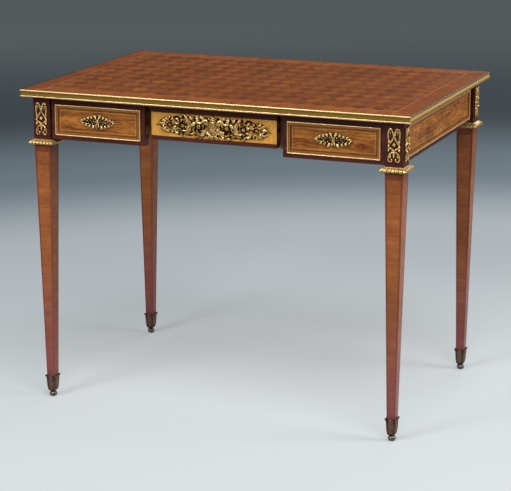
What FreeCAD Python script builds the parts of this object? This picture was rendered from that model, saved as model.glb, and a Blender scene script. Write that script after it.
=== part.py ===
import FreeCAD, Part
import math
import os

# A writing table in the French neoclassical taste, in millimetres.
# X runs to the right, Y to the back and Z up. The origin is on the floor under the middle of the top.

# Overall sizes
table_height = 750.0
top_width = 940.0
top_depth = 650.0
top_thickness = 16.5

# Brass edge of the top: two beads with a hollow between them
edge_depth = 5.0
edge_bead_height = 4.0
edge_bead_proud = 1.2
edge_hollow_depth = 0.5

# Corner dies and tapering legs
top_overhang = 22.0
die_size = 42.0
die_drop = 1.5
leg_top_size = 41.5
leg_ankle_size = 20.0
spigot_size = 13.0
spigot_length = 20.0

# Gilt capitals
capital_height = 16.0
capital_projection = 11.0
capital_fillet = 1.2
capital_fillet_height = 2.2
capital_lip_height = 2.6
capital_lip_drop = 6.4

# Bronze sabots and ball feet
sabot_height = 42.0
sabot_lip_size = 26.0
sabot_lip_height = 6.0
sabot_body_size = 22.0
sabot_toe_size = 17.5
sabot_toe_height = 6.0
sabot_neck_size = 8.0
sabot_cup_depth = 3.0
foot_height = 13.0
foot_diameter = 18.0
foot_flat_diameter = 6.0
foot_neck_diameter = 6.4
foot_shank_diameter = 5.0
foot_shank_length = 14.0
foot_shank_slack = 0.1

# Frieze rails
frieze_height = 99.5
rail_thickness = 22.0
rail_setback = 9.0
rail_arch_rise = 17.0
tenon_thickness = 8.0
tenon_length = 14.0
tenon_shoulder_low = 10.0
tenon_shoulder_high = 17.0
top_rail_thickness = 7.0
top_rail_width = 42.0
rail_tail_length = 16.0
rail_tail_root = 16.0
rail_tail_flare = 3.0

# Partitions between the drawers
partition_thickness = 14.0
partition_side_gap = 1.0
partition_front_gap = 1.5
partition_bottom_rise = 14.0
partition_housing = 6.0

# Drawers
centre_front_width = 304.0
centre_front_rise = 17.0
front_thickness = 22.0
side_front_setback = 6.5
centre_front_setback = 9.0
front_die_gap = 1.5
front_top_gap = 0.6
drawer_back_clearance = 86.0
drawer_side_thickness = 9.0
drawer_back_thickness = 8.0
drawer_box_top_drop = 12.0
side_box_rise = 20.0
centre_box_rise = 13.0
drawer_tails = 2
tail_length = 13.0
tail_gap = 12.0
tail_flare = 2.5
bottom_thickness = 5.0
bottom_rise = 6.0
bottom_groove_depth = 4.0
bottom_slack = 0.1
drawer_travel_room = 0.3

# Runners, guides and stops
runner_thickness = 8.0
runner_width = 14.0
guide_rise = 26.0
stop_length = 12.0
stop_height = 10.0

# Brass frames on the drawer fronts and rails
frame_border = 10.0
frame_width = 7.0
frame_proud = 3.5
frame_bead = 2.4

# Locks
key_height_side = 47.0
key_height_centre = 37.0
lock_width = 46.0
lock_thickness = 11.0
lock_below_key = 11.0
lock_back_wall = 2.0
bolt_width = 18.0
bolt_thickness = 6.0
bolt_length = 26.0
bolt_slack = 0.3
bolt_sink = 0.6
keyhole_bore = 5.0
keyhole_slot_width = 2.6
keyhole_slot_drop = 8.0
strike_slack = 1.5

# Glue blocks and screws under the top
block_length = 44.0
block_size = 15.0
block_clear = 110.0
screw_inner = 80.0
screw_outer = 222.0
screw_diameter = 4.0
screw_head_diameter = 7.5
screw_head_height = 2.4
screw_bite = 10.0
screw_slack = 0.1

# Gilt mounts
corner_mount_rise = 46.8
corner_mount_width = 29.5
corner_mount_height = 76.0
corner_mount_relief = 3.2
corner_mount_band = 2.6
spray_width = 91.0
spray_height = 34.0
spray_leaves = 16
spray_relief = 3.4
spray_leaf_width = 3.2
spray_leaf_taper = 0.12
scroll_width = 281.0
scroll_height = 51.0
scroll_relief = 4.4
scroll_stem = 3.0
scroll_half_turns = 4
scroll_end_leaf = 22.0
scroll_leaf_width = 6.8
scroll_lobe_width = 5.2
scroll_lobe_length = 7.0
shield_leaf_width = 10.0
shield_width = 26.0
shield_height = 40.0
keyplate_diameter = 11.0
mount_hole_slack = 0.4

# Places that follow from the sizes above
under_top = table_height - top_thickness
frieze_bottom = under_top - frieze_height
die_bottom = frieze_bottom - die_drop
capital_bottom = die_bottom - capital_height
sabot_top = foot_height + sabot_height
leg_x = top_width / 2 - top_overhang - die_size / 2
leg_y = top_depth / 2 - top_overhang - die_size / 2
die_inner_x = leg_x - die_size / 2
die_inner_y = leg_y - die_size / 2
die_outer_x = leg_x + die_size / 2
die_outer_y = leg_y + die_size / 2
rail_outer_x = die_outer_x - rail_setback
rail_inner_x = rail_outer_x - rail_thickness
rail_outer_y = die_outer_y - rail_setback
rail_inner_y = rail_outer_y - rail_thickness
tenon_low = frieze_bottom + tenon_shoulder_low
tenon_high = under_top - tenon_shoulder_high
top_rail_bottom = under_top - top_rail_thickness
top_rail_front = -die_outer_y + side_front_setback + front_top_gap
top_rail_back = top_rail_front + top_rail_width
front_top = top_rail_bottom - front_top_gap
box_top = front_top - drawer_box_top_drop
partition_inner_x = centre_front_width / 2 + partition_side_gap
partition_outer_x = partition_inner_x + partition_thickness
partition_bottom = frieze_bottom + partition_bottom_rise
side_front_inner = partition_outer_x + partition_side_gap
side_front_outer = die_inner_x - front_die_gap
side_front_centre = (side_front_inner + side_front_outer) / 2
side_front_width = side_front_outer - side_front_inner
side_front_face = -die_outer_y + side_front_setback
centre_front_face = -die_outer_y + centre_front_setback
drawer_length = rail_inner_y - drawer_back_clearance - centre_front_face
centre_front_bottom = frieze_bottom + centre_front_rise
partition_front = side_front_face + front_thickness + partition_front_gap
key_z_side = frieze_bottom + key_height_side
key_z_centre = centre_front_bottom + key_height_centre
corner_mount_z = frieze_bottom + corner_mount_rise
frame_low = frieze_bottom + frame_border
frame_high = front_top - frame_border

up = FreeCAD.Vector(0, 0, 1)
along_x = FreeCAD.Vector(1, 0, 0)
origin = FreeCAD.Vector(0, 0, 0)


def vec(x, y, z=0.0):
    return FreeCAD.Vector(x, y, z)


def block(x0, x1, y0, y1, z0, z1):
    return Part.makeBox(x1 - x0, y1 - y0, z1 - z0, vec(x0, y0, z0))


def join(shapes):
    return shapes[0].multiFuse(shapes[1:]).removeSplitter()


def moved(shape, x, y, z):
    copy = shape.copy()
    copy.translate(vec(x, y, z))
    return copy


def turned(shape, axis, degrees):
    copy = shape.copy()
    copy.rotate(origin, axis, degrees)
    return copy


def save(name, solids):
    group = solids if isinstance(solids, list) else [solids]
    singles = [piece for shape in group for piece in shape.Solids]
    Part.makeCompound(singles).exportStep("parts/" + name + ".step")


def outline(start, steps):
    # Each step holds the middle of an arc, or None for a straight line, and the end point
    edges = []
    here = start
    for middle, end in steps:
        curve = Part.LineSegment(here, end) if middle is None else Part.Arc(here, middle, end)
        edges.append(curve.toShape())
        here = end
    return edges


def closed_face(edges):
    return Part.Face(Part.Wire(edges))


def prism(corners, direction):
    return Part.Face(Part.makePolygon(corners + corners[:1])).extrude(direction)


def square_taper(size_low, z_low, size_high, z_high):
    low = size_low / 2
    high = size_high / 2
    wedge = Part.makeWedge(-low, z_low, -low, -high, -high, low, z_high, low, high, high)
    return turned(wedge, along_x, 90)


def square_turned(start, steps):
    # The same silhouette on all four faces: two crossed extrusions leave mitred corners
    right = outline(start, steps)
    mirrored = [(None if middle is None else vec(-middle.x, 0, middle.z), vec(-end.x, 0, end.z))
                for middle, end in steps]
    left = outline(vec(-start.x, 0, start.z), mirrored)
    low = Part.LineSegment(vec(-start.x, 0, start.z), start).toShape()
    top = steps[-1][1]
    high = Part.LineSegment(top, vec(-top.x, 0, top.z)).toShape()
    face = closed_face(Part.sortEdges(right + left + [low, high])[0])
    reach = 2 * max([start.x] + [end.x for middle, end in steps])
    slab = moved(face, 0, -reach, 0).extrude(vec(0, 2 * reach))
    return slab.common(turned(slab, up, 90))


def mitred_frame(length, width, profile):
    # Four mitred lengths lying flat, with the profile given as inward distance in X and height in Z
    depth = max(corner.Point.x for corner in profile.Vertexes)
    low = profile.BoundBox.ZMin - 1
    high = profile.BoundBox.ZMax + 1
    section = turned(profile, up, 90)
    strips = []
    for quarter in range(4):
        run, reach = (length, width) if quarter % 2 == 0 else (width, length)
        bar = moved(section, -run / 2, -reach / 2, 0).extrude(vec(run, 0))
        corners = [vec(-run / 2, -reach / 2, low), vec(run / 2, -reach / 2, low),
                   vec(run / 2 - depth, depth - reach / 2, low), vec(depth - run / 2, depth - reach / 2, low)]
        wedge = prism(corners, vec(0, 0, high - low))
        strips.append(turned(bar.common(wedge), up, 90 * quarter))
    return strips


def edge_profile():
    half_bead = edge_bead_height / 2
    nose = vec(edge_bead_proud, 0, 0)
    waist = vec(edge_bead_proud, 0, -edge_bead_height)
    heel = vec(edge_bead_proud, 0, edge_bead_height - top_thickness)
    sole = vec(edge_bead_proud, 0, -top_thickness)
    steps = [(vec(0, 0, -half_bead), waist),
             (vec(edge_bead_proud + edge_hollow_depth, 0, -top_thickness / 2), heel),
             (vec(0, 0, half_bead - top_thickness), sole),
             (None, vec(edge_depth, 0, -top_thickness)),
             (None, vec(edge_depth, 0, 0)),
             (None, nose)]
    return closed_face(outline(nose, steps))


def frame_profile():
    # An outer bead, a sunk ogee and a thin inner lip
    rise = frame_proud - frame_bead / 2
    steps = [(None, vec(0, 0, rise)),
             (vec(frame_bead / 2, 0, frame_proud), vec(frame_bead, 0, rise)),
             (vec((frame_width + frame_bead) / 2, 0, rise / 2), vec(frame_width - frame_bead / 2, 0, rise)),
             (None, vec(frame_width, 0, rise)),
             (None, vec(frame_width, 0, 0)),
             (None, vec(0, 0, 0))]
    return closed_face(outline(vec(0, 0, 0), steps))


def facing(shape, side):
    # Stands a piece that lies flat in XY up against the front, the back or one end of the table
    upright = turned(shape, along_x, 90)
    return turned(upright, up, {"front": 0, "right": 90, "back": 180, "left": 270}[side])


def ring_part(centre_x, centre_y, radius, width, start_angle, sweep, height):
    outer = radius + width / 2
    inner = radius - width / 2
    ends = []
    for r, shares in ((outer, (0, 0.5, 1)), (inner, (1, 0.5, 0))):
        for share in shares:
            angle = math.radians(start_angle + sweep * share)
            ends.append(vec(centre_x + r * math.cos(angle), centre_y + r * math.sin(angle)))
    edges = outline(ends[0], [(ends[1], ends[2]), (None, ends[3]), (ends[4], ends[5]), (None, ends[0])])
    return closed_face(edges).extrude(vec(0, 0, height))


def leaf(x0, y0, x1, y1, half_width, height):
    middle_x = (x0 + x1) / 2
    middle_y = (y0 + y1) / 2
    length = math.hypot(x1 - x0, y1 - y0)
    across_x = -(y1 - y0) / length * half_width
    across_y = (x1 - x0) / length * half_width
    edges = outline(vec(x0, y0), [(vec(middle_x + across_x, middle_y + across_y), vec(x1, y1)),
                                  (vec(middle_x - across_x, middle_y - across_y), vec(x0, y0))])
    return closed_face(edges).extrude(vec(0, 0, height))


def ribbon(x0, y0, x1, y1, width, height):
    length = math.hypot(x1 - x0, y1 - y0)
    across_x = -(y1 - y0) / length * width / 2
    across_y = (x1 - x0) / length * width / 2
    corners = [vec(x0 + across_x, y0 + across_y), vec(x1 + across_x, y1 + across_y),
               vec(x1 - across_x, y1 - across_y), vec(x0 - across_x, y0 - across_y)]
    return prism(corners, vec(0, 0, height))


def boss(x, y, radius, height):
    return Part.makeCylinder(radius, height, vec(x, y))


def keyhole(slack, depth):
    bore = Part.makeCylinder(keyhole_bore / 2 + slack, depth)
    half = keyhole_slot_width / 2 + slack
    return bore.fuse(block(-half, half, -keyhole_slot_drop - slack, 0, 0, depth))


# Top board, inside its brass edge
def build_top():
    half_x = top_width / 2 - edge_depth
    half_y = top_depth / 2 - edge_depth
    board = block(-half_x, half_x, -half_y, half_y, under_top, table_height)
    for x, y, low in screw_places():
        board = board.cut(Part.makeCylinder(screw_diameter / 2 + screw_slack, screw_bite + screw_slack,
                                            vec(x, y, under_top)))
    save("top_board", board)
    strips = mitred_frame(top_width, top_depth, edge_profile())
    save("top_edge_moulding", [moved(strip, 0, 0, table_height) for strip in strips])


# Legs: die, tapering shaft and the spigot that goes down into the sabot
def leg_shape():
    shoulder = sabot_top - sabot_cup_depth
    die = block(-die_size / 2, die_size / 2, -die_size / 2, die_size / 2, die_bottom, under_top)
    shaft = square_taper(leg_ankle_size, shoulder, leg_top_size, die_bottom)
    half = spigot_size / 2
    spigot = block(-half, half, -half, half, shoulder - spigot_length, shoulder)
    return join([die, shaft, spigot]).cut(shank_bore())


def shank_bore():
    return Part.makeCylinder(foot_shank_diameter / 2 + foot_shank_slack, foot_height + foot_shank_length)


def capital_shape():
    # A fillet under the die, a hollow swelling out to the lip, and an ovolo back to the shaft
    half_die = die_size / 2
    half_lip = half_die + capital_projection
    half_fillet = half_die + capital_fillet
    half_base = leg_top_size / 2 + capital_fillet
    lip_top = die_bottom - capital_lip_drop
    lip_bottom = lip_top - capital_lip_height
    base_top = capital_bottom + capital_fillet_height
    fillet_bottom = die_bottom - capital_fillet_height
    ovolo_bulge = vec(half_base + (half_lip - half_base) * 0.72, 0, base_top + (lip_bottom - base_top) * 0.34)
    hollow_dip = vec(half_fillet + (half_lip - half_fillet) * 0.38, 0,
                     lip_top + (fillet_bottom - lip_top) * 0.36)
    steps = [(None, vec(half_base, 0, base_top)),
             (ovolo_bulge, vec(half_lip, 0, lip_bottom)),
             (None, vec(half_lip, 0, lip_top)),
             (hollow_dip, vec(half_fillet, 0, fillet_bottom)),
             (None, vec(half_fillet, 0, die_bottom))]
    collar = square_turned(vec(half_base, 0, capital_bottom), steps)
    shoulder = sabot_top - sabot_cup_depth
    return collar.cut(square_taper(leg_ankle_size, shoulder, leg_top_size, die_bottom))


def sabot_shape():
    lip_low = sabot_top - sabot_lip_height
    toe_top = foot_height + sabot_toe_height
    half_neck = sabot_neck_size / 2
    half_toe = sabot_toe_size / 2
    half_body = sabot_body_size / 2
    half_lip = sabot_lip_size / 2
    toe_bulge = vec(half_neck + (half_toe - half_neck) * 0.72, 0, foot_height + sabot_toe_height * 0.34)
    lip_dip = vec(half_body + (half_lip - half_body) * 0.3, 0, lip_low + sabot_lip_height * 0.6)
    steps = [(toe_bulge, vec(half_toe, 0, toe_top)),
             (None, vec(half_body, 0, lip_low)),
             (lip_dip, vec(half_lip, 0, sabot_top))]
    shoe = square_turned(vec(half_neck, 0, foot_height), steps)
    shoulder = sabot_top - sabot_cup_depth
    half = spigot_size / 2
    socket = block(-half, half, -half, half, shoulder - spigot_length, sabot_top)
    shaft = square_taper(leg_ankle_size, shoulder, leg_top_size, die_bottom)
    return shoe.cut(socket).cut(shaft).cut(shank_bore())


def foot_shape():
    neck = vec(foot_neck_diameter / 2, 0, foot_height)
    flat = vec(foot_flat_diameter / 2, 0, 0)
    belly = vec(foot_diameter / 2, 0, foot_height / 2)
    shank_top = foot_height + foot_shank_length
    steps = [(None, flat),
             (belly, neck),
             (None, vec(foot_shank_diameter / 2, 0, foot_height)),
             (None, vec(foot_shank_diameter / 2, 0, shank_top)),
             (None, vec(0, 0, shank_top)),
             (None, vec(0, 0, 0))]
    return closed_face(outline(vec(0, 0, 0), steps)).revolve(origin, up, 360)


def corner_mount_shape():
    # Two scrolled ribbons that cross under a bead, with curls at the foot and a bud between them
    band = corner_mount_band
    relief = corner_mount_relief
    thin = relief * 0.7
    half_w = corner_mount_width / 2
    half_h = corner_mount_height / 2
    loop = half_w / 2 - band / 4
    curl = loop * 0.86
    loop_x = half_w - loop - band / 2
    loop_y = half_h - loop - band / 2
    curl_x = half_w - curl - band / 2
    curl_y = curl + band / 2 - half_h
    hip_x = half_w - band
    hip_y = -half_h * 0.22
    crossing_y = half_h * 0.25
    pieces = [boss(0, crossing_y, band * 1.3, relief),
              leaf(0, crossing_y, 0, half_h, band, relief),
              ribbon(-hip_x, hip_y, hip_x, hip_y, band * 0.8, thin),
              leaf(0, hip_y + band, 0, curl_y, band * 1.2, relief)]
    for side in (1, -1):
        pieces += [ring_part(side * loop_x, loop_y, loop, band, 90 - side * 200, side * 300, relief),
                   ribbon(side * (half_w - band / 2), loop_y, -side * hip_x, hip_y, band, thin),
                   boss(side * hip_x, hip_y, band * 0.9, relief),
                   ribbon(side * hip_x, hip_y, side * (curl_x - curl), curl_y, band, thin),
                   ring_part(side * curl_x, curl_y, curl, band, 90 + side * 90, side * 300, relief)]
    return join(pieces)


def build_legs():
    leg = leg_shape()
    capital = capital_shape()
    sabot = sabot_shape()
    foot = foot_shape()
    mount = moved(corner_mount_shape(), 0, corner_mount_z, 0)
    tenons = join(side_rail_tenons() + back_rail_tenons() + top_rail_tails())
    for level, sign_y in (("front", -1), ("back", 1)):
        for hand, sign_x in (("left", -1), ("right", 1)):
            name = level + "_" + hand
            x = sign_x * leg_x
            y = sign_y * leg_y
            save(name + "_leg", moved(leg, x, y, 0).cut(tenons))
            save(name + "_capital", moved(capital, x, y, 0))
            save(name + "_sabot", moved(sabot, x, y, 0))
            save(name + "_foot", moved(foot, x, y, 0))
            faced = moved(facing(mount, level), x, sign_y * die_outer_y, 0)
            ended = moved(facing(mount, hand), sign_x * die_outer_x, y, 0)
            save(name + "_corner_mounts", [faced, ended])


# Rails of the frieze
def side_rail_tenons():
    middle = (rail_inner_x + rail_outer_x) / 2
    tenons = []
    for sign_x in (1, -1):
        for sign_y in (1, -1):
            reach = sorted((sign_y * die_inner_y, sign_y * (die_inner_y + tenon_length)))
            tenons.append(block(sign_x * middle - tenon_thickness / 2, sign_x * middle + tenon_thickness / 2,
                                reach[0], reach[1], tenon_low, tenon_high))
    return tenons


def back_rail_tenons():
    middle = (rail_inner_y + rail_outer_y) / 2
    tenons = []
    for sign_x in (1, -1):
        reach = sorted((sign_x * die_inner_x, sign_x * (die_inner_x + tenon_length)))
        tenons.append(block(reach[0], reach[1], middle - tenon_thickness / 2, middle + tenon_thickness / 2,
                            tenon_low, tenon_high))
    return tenons


def top_rail_tails():
    tails = []
    for sign_x in (1, -1):
        root = rail_tail_root / 2
        end = root + rail_tail_flare
        near = sign_x * die_inner_x
        far = sign_x * (die_inner_x + rail_tail_length)
        corners = [vec(near, -leg_y - root, top_rail_bottom), vec(far, -leg_y - end, top_rail_bottom),
                   vec(far, -leg_y + end, top_rail_bottom), vec(near, -leg_y + root, top_rail_bottom)]
        tails.append(prism(corners, vec(0, 0, top_rail_thickness)))
    return tails


def build_rails():
    tenons = side_rail_tenons()
    for hand, sign in (("right", 1), ("left", -1)):
        inner, outer = sorted((sign * rail_inner_x, sign * rail_outer_x))
        own = [tenon for tenon in tenons if tenon.CenterOfMass.x * sign > 0]
        board = block(inner, outer, -die_inner_y, die_inner_y, frieze_bottom, under_top)
        save(hand + "_side_rail", join([board] + own))
        frame = mitred_frame(2 * (die_inner_y - frame_border), frame_high - frame_low, frame_profile())
        middle = (frame_low + frame_high) / 2
        save(hand + "_side_frame",
             [moved(facing(strip, hand), sign * rail_outer_x, 0, middle) for strip in frame])
    build_back_rail()
    build_top_rail()


def build_back_rail():
    board = block(-die_inner_x, die_inner_x, rail_inner_y, rail_outer_y, frieze_bottom, under_top)
    arch = block(-partition_outer_x, partition_outer_x, rail_inner_y, rail_outer_y,
                 frieze_bottom, frieze_bottom + rail_arch_rise)
    rail = join([board.cut(arch)] + back_rail_tenons())
    for sign in (1, -1):
        rail = rail.cut(partition_board(sign))
    save("back_rail", rail)
    frame_inner = partition_outer_x + frame_border
    frame_outer = die_inner_x - frame_border
    frame = mitred_frame(frame_outer - frame_inner, frame_high - frame_low, frame_profile())
    middle = (frame_low + frame_high) / 2
    frames = []
    for sign in (1, -1):
        centre = sign * (frame_inner + frame_outer) / 2
        frames += [moved(facing(strip, "back"), centre, rail_outer_y, middle) for strip in frame]
    save("back_frames", frames)


def build_top_rail():
    rail = block(-die_inner_x, die_inner_x, top_rail_front, top_rail_back, top_rail_bottom, under_top)
    rail = join([rail] + top_rail_tails())
    for centre, face in ((-side_front_centre, side_front_face), (0, centre_front_face),
                         (side_front_centre, side_front_face)):
        half = bolt_width / 2 + strike_slack
        near, far = bolt_reach(face)
        rail = rail.cut(block(centre - half, centre + half, near - strike_slack, far + strike_slack,
                              top_rail_bottom, under_top))
    for x, y, low in screw_places():
        if low == top_rail_bottom:
            rail = rail.cut(screw_shape(x, y, low, screw_slack))
    save("front_top_rail", rail)


# Partitions, with a notch for the top rail and a housing in the back rail
def partition_board(sign):
    near, far = sorted((sign * partition_inner_x, sign * partition_outer_x))
    back = rail_inner_y + partition_housing
    board = block(near, far, partition_front, back, partition_bottom, under_top)
    return board.cut(block(near, far, partition_front, top_rail_back, top_rail_bottom, under_top))


def runner(wall_x, direction, top_z, drawer_back, guide_width):
    # A ledge under the drawer side, a stop behind it and, beside the leg, a guide
    edge = wall_x + direction * (guide_width + runner_width)
    ledge_wall = wall_x + direction * guide_width
    low = top_z - runner_thickness
    near, far = sorted((wall_x, edge))
    ledge = block(near, far, -die_inner_y, die_inner_y, low, top_z)
    stop_near, stop_far = sorted((ledge_wall, edge))
    stop = block(stop_near, stop_far, drawer_back + drawer_travel_room,
                 drawer_back + drawer_travel_room + stop_length, top_z, top_z + stop_height)
    pieces = [ledge, stop]
    if guide_width > 0:
        near, far = sorted((wall_x, ledge_wall))
        pieces.append(block(near, far, -die_inner_y, die_inner_y, low, top_z + guide_rise))
    return join(pieces)


def build_partitions():
    side_top = frieze_bottom + side_box_rise - drawer_travel_room
    centre_top = centre_front_bottom + centre_box_rise - drawer_travel_room
    side_back = side_front_face + drawer_length
    centre_back = centre_front_face + drawer_length
    guide = rail_inner_x - side_front_outer - partition_side_gap
    for hand, sign in (("left", -1), ("right", 1)):
        save(hand + "_partition", partition_board(sign))
        inner = runner(sign * partition_outer_x, sign, side_top, side_back, 0)
        outer = runner(sign * rail_inner_x, -sign, side_top, side_back, guide)
        save(hand + "_drawer_runners", [inner, outer])
    centre = [runner(sign * partition_inner_x, -sign, centre_top, centre_back, 0) for sign in (-1, 1)]
    save("centre_drawer_runners", centre)


# Drawers
def bolt_reach(face):
    back = face + front_thickness - (lock_thickness - bolt_thickness) / 2
    return back - bolt_thickness, back


def tails(x0, x1, root_y, direction, z0, z1):
    # Dovetails of one drawer side, widening away from the root
    pitch = (z1 - z0) / drawer_tails
    length = tail_length if direction < 0 else drawer_back_thickness
    pieces = []
    for number in range(drawer_tails):
        middle = z0 + pitch * (number + 0.5)
        root = (pitch - tail_gap) / 2
        end = root + tail_flare
        far = root_y + direction * length
        corners = [vec(x0, root_y, middle - root), vec(x0, far, middle - end),
                   vec(x0, far, middle + end), vec(x0, root_y, middle + root)]
        pieces.append(prism(corners, vec(x1 - x0, 0)))
    return pieces


def drawer_plan(name, centre, width, face, low, box_rise, key_z):
    # Places that the pieces of one drawer share
    left = centre - width / 2
    right = centre + width / 2
    back_end = face + drawer_length
    floor_low = low + box_rise + bottom_rise
    return {"name": name, "centre": centre, "left": left, "right": right, "low": low, "key_z": key_z,
            "face": face, "front_back": face + front_thickness,
            "back_front": back_end - drawer_back_thickness, "back_end": back_end,
            "box_low": low + box_rise, "floor_low": floor_low, "floor_high": floor_low + bottom_thickness,
            "sides": ((left, left + drawer_side_thickness), (right - drawer_side_thickness, right))}


def floor_board(plan, slack):
    # The bottom lies in grooves in the sides and the front, and runs out under the back
    inner_left = plan["sides"][0][1]
    inner_right = plan["sides"][1][0]
    reach = bottom_groove_depth + slack
    low = plan["floor_low"] - slack
    high = plan["floor_high"] + slack
    panel = block(inner_left - reach, inner_right + reach, plan["front_back"], plan["back_end"], low, high)
    tongue = block(inner_left, inner_right, plan["front_back"] - reach, plan["front_back"], low, high)
    return join([panel, tongue])


def front_tails(plan, x0, x1):
    return tails(x0, x1, plan["front_back"], -1, plan["box_low"], box_top)


def build_drawer_box(plan):
    groove = floor_board(plan, bottom_slack)
    back_low = plan["floor_high"] + bottom_slack
    sides = []
    back_tails = []
    for x0, x1 in plan["sides"]:
        behind = tails(x0, x1, plan["back_front"], 1, back_low, box_top)
        body = block(x0, x1, plan["front_back"], plan["back_front"], plan["box_low"], box_top)
        heel = block(x0, x1, plan["back_front"], plan["back_end"], plan["box_low"], back_low)
        sides.append(join([body, heel] + front_tails(plan, x0, x1) + behind).cut(groove))
        back_tails += behind
    back = block(plan["left"], plan["right"], plan["back_front"], plan["back_end"], back_low, box_top)
    save(plan["name"] + "_drawer_bottom", floor_board(plan, 0))
    save(plan["name"] + "_drawer_sides", sides)
    save(plan["name"] + "_drawer_back", back.cut(join(back_tails)))


def lock_pocket(plan):
    half = lock_width / 2
    return block(plan["centre"] - half, plan["centre"] + half, plan["front_back"] - lock_thickness,
                 plan["front_back"], plan["key_z"] - lock_below_key, front_top)


def build_drawer_front(plan):
    board = block(plan["left"], plan["right"], plan["face"], plan["front_back"], plan["low"], front_top)
    sockets = [tail for x0, x1 in plan["sides"] for tail in front_tails(plan, x0, x1)]
    hole = moved(facing(keyhole(0, front_thickness), "front"),
                 plan["centre"], plan["front_back"], plan["key_z"])
    board = board.cut(join(sockets)).cut(floor_board(plan, bottom_slack))
    save(plan["name"] + "_drawer_front", board.cut(lock_pocket(plan)).cut(hole))


def build_lock(plan):
    centre = plan["centre"]
    near, far = bolt_reach(plan["face"])
    high = front_top - bolt_sink
    low = high - bolt_length
    half = bolt_width / 2
    wide = half + bolt_slack
    bolt = block(centre - half, centre + half, near, far, low, high)
    channel = block(centre - wide, centre + wide, near - bolt_slack, far + bolt_slack,
                    low - bolt_slack, front_top)
    barrel = moved(facing(keyhole(0, lock_thickness - lock_back_wall), "front"),
                   centre, plan["front_back"] - lock_back_wall, plan["key_z"])
    save(plan["name"] + "_lock_bolt", bolt)
    save(plan["name"] + "_lock_case", lock_pocket(plan).cut(channel).cut(barrel))


def build_drawer_frame(plan):
    width = plan["right"] - plan["left"] - 2 * frame_border
    height = front_top - plan["low"] - 2 * frame_border
    middle = (plan["low"] + front_top) / 2
    strips = [facing(strip, "front") for strip in mitred_frame(width, height, frame_profile())]
    save(plan["name"] + "_drawer_frame",
         [moved(strip, plan["centre"], plan["face"], middle) for strip in strips])


def build_drawer(plan, mount):
    build_drawer_box(plan)
    build_drawer_front(plan)
    build_lock(plan)
    save(plan["name"] + "_drawer_mount",
         moved(facing(mount, "front"), plan["centre"], plan["face"], plan["key_z"]))


# Lozenge of leaves round a key plate
def spray_shape():
    pieces = [boss(0, 0, keyplate_diameter / 2, spray_relief)]
    quarter = spray_leaves // 4
    corners = [(spray_width / 2, 0), (0, spray_height / 2), (-spray_width / 2, 0), (0, -spray_height / 2)]
    for number in range(spray_leaves):
        start = corners[number // quarter]
        end = corners[(number // quarter + 1) % 4]
        share = (number % quarter) / quarter
        tip_x = start[0] + (end[0] - start[0]) * share
        tip_y = start[1] + (end[1] - start[1]) * share
        length = math.hypot(tip_x, tip_y)
        height = spray_relief * (0.55 if number % 2 else 0.8)
        half_width = (spray_leaf_width + length * spray_leaf_taper) / 2
        pieces.append(leaf(0, 0, tip_x, tip_y, half_width, height))
    drilled = keyhole(mount_hole_slack, spray_relief)
    return join(pieces).cut(drilled)


# Running scroll of tangent circles on both sides of a shield
def scroll_shape():
    top = scroll_height / 2
    shield_edge = shield_width / 2
    run = scroll_width / 2 - shield_edge - scroll_end_leaf
    shares = (0.41, 0.34, 0.25)
    pieces = [oval(shield_width, shield_height, scroll_relief * 0.6),
              oval(shield_width * 0.62, shield_height * 0.66, scroll_relief),
              leaf(0, shield_height * 0.3, 0, top, shield_leaf_width / 2, scroll_relief),
              leaf(0, -shield_height * 0.3, 0, -top, shield_leaf_width / 2, scroll_relief)]
    for side in (1, -1):
        x = shield_edge
        rising = 1
        for share in shares:
            radius = run * share / 2
            centre_x = x + radius
            pieces += volute(side, centre_x, radius, radius / (scroll_half_turns + 0.6), rising)
            tall = min(top, radius * 1.25)
            for lean in (0.9, -0.9):
                pieces.append(leaf(side * x, 0, side * (x + radius * 0.35), lean * tall,
                                   scroll_leaf_width / 2, scroll_relief * 0.75))
            x += 2 * radius
            rising = -rising
        for lean, reach in ((0, 1.0), (0.42, 0.8), (-0.42, 0.8)):
            pieces.append(leaf(side * (x - scroll_stem), 0,
                               side * (x + scroll_end_leaf * reach * math.cos(lean)),
                               scroll_end_leaf * reach * math.sin(lean),
                               scroll_leaf_width / 2, scroll_relief * 0.75))
    drilled = keyhole(mount_hole_slack, scroll_relief)
    return join(pieces).cut(drilled)


def oval(width, height, relief):
    if height > width:
        ellipse = turned(Part.Ellipse(origin, height / 2, width / 2).toShape(), up, 90)
    else:
        ellipse = Part.Ellipse(origin, width / 2, height / 2).toShape()
    return Part.Face(Part.Wire([ellipse])).extrude(vec(0, 0, relief))


def volute(side, centre_x, radius, step, rising):
    # Half rings on alternate centres wind inwards to a rosette, with a spray of leaves outside
    pieces = []
    for turn in range(scroll_half_turns):
        r = radius - turn * step
        x = centre_x + (turn % 2) * step
        over = rising if turn % 2 == 0 else -rising
        pieces.append(ring_part(side * x, 0, r, scroll_stem, 0, over * 180, scroll_relief * 0.8))
    eye_x = x + r if turn % 2 == 0 else x - r
    pieces.append(boss(side * eye_x, 0, step * 0.8, scroll_relief))
    for degrees in (50, 90, 130):
        angle = math.radians(degrees)
        reach = min(scroll_height / 2, radius + scroll_lobe_length)
        pieces.append(leaf(side * centre_x + (radius - scroll_stem) * math.cos(angle),
                           rising * (radius - scroll_stem) * math.sin(angle),
                           side * centre_x + reach * math.cos(angle),
                           rising * reach * math.sin(angle), scroll_lobe_width / 2, scroll_relief * 0.65))
    return pieces


def build_drawers():
    for name, sign in (("left", -1), ("right", 1)):
        plan = drawer_plan(name, sign * side_front_centre, side_front_width, side_front_face, frieze_bottom,
                           side_box_rise, key_z_side)
        build_drawer(plan, spray_shape())
        build_drawer_frame(plan)
    plan = drawer_plan("centre", 0, centre_front_width, centre_front_face, centre_front_bottom,
                       centre_box_rise, key_z_centre)
    build_drawer(plan, scroll_shape())


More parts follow.
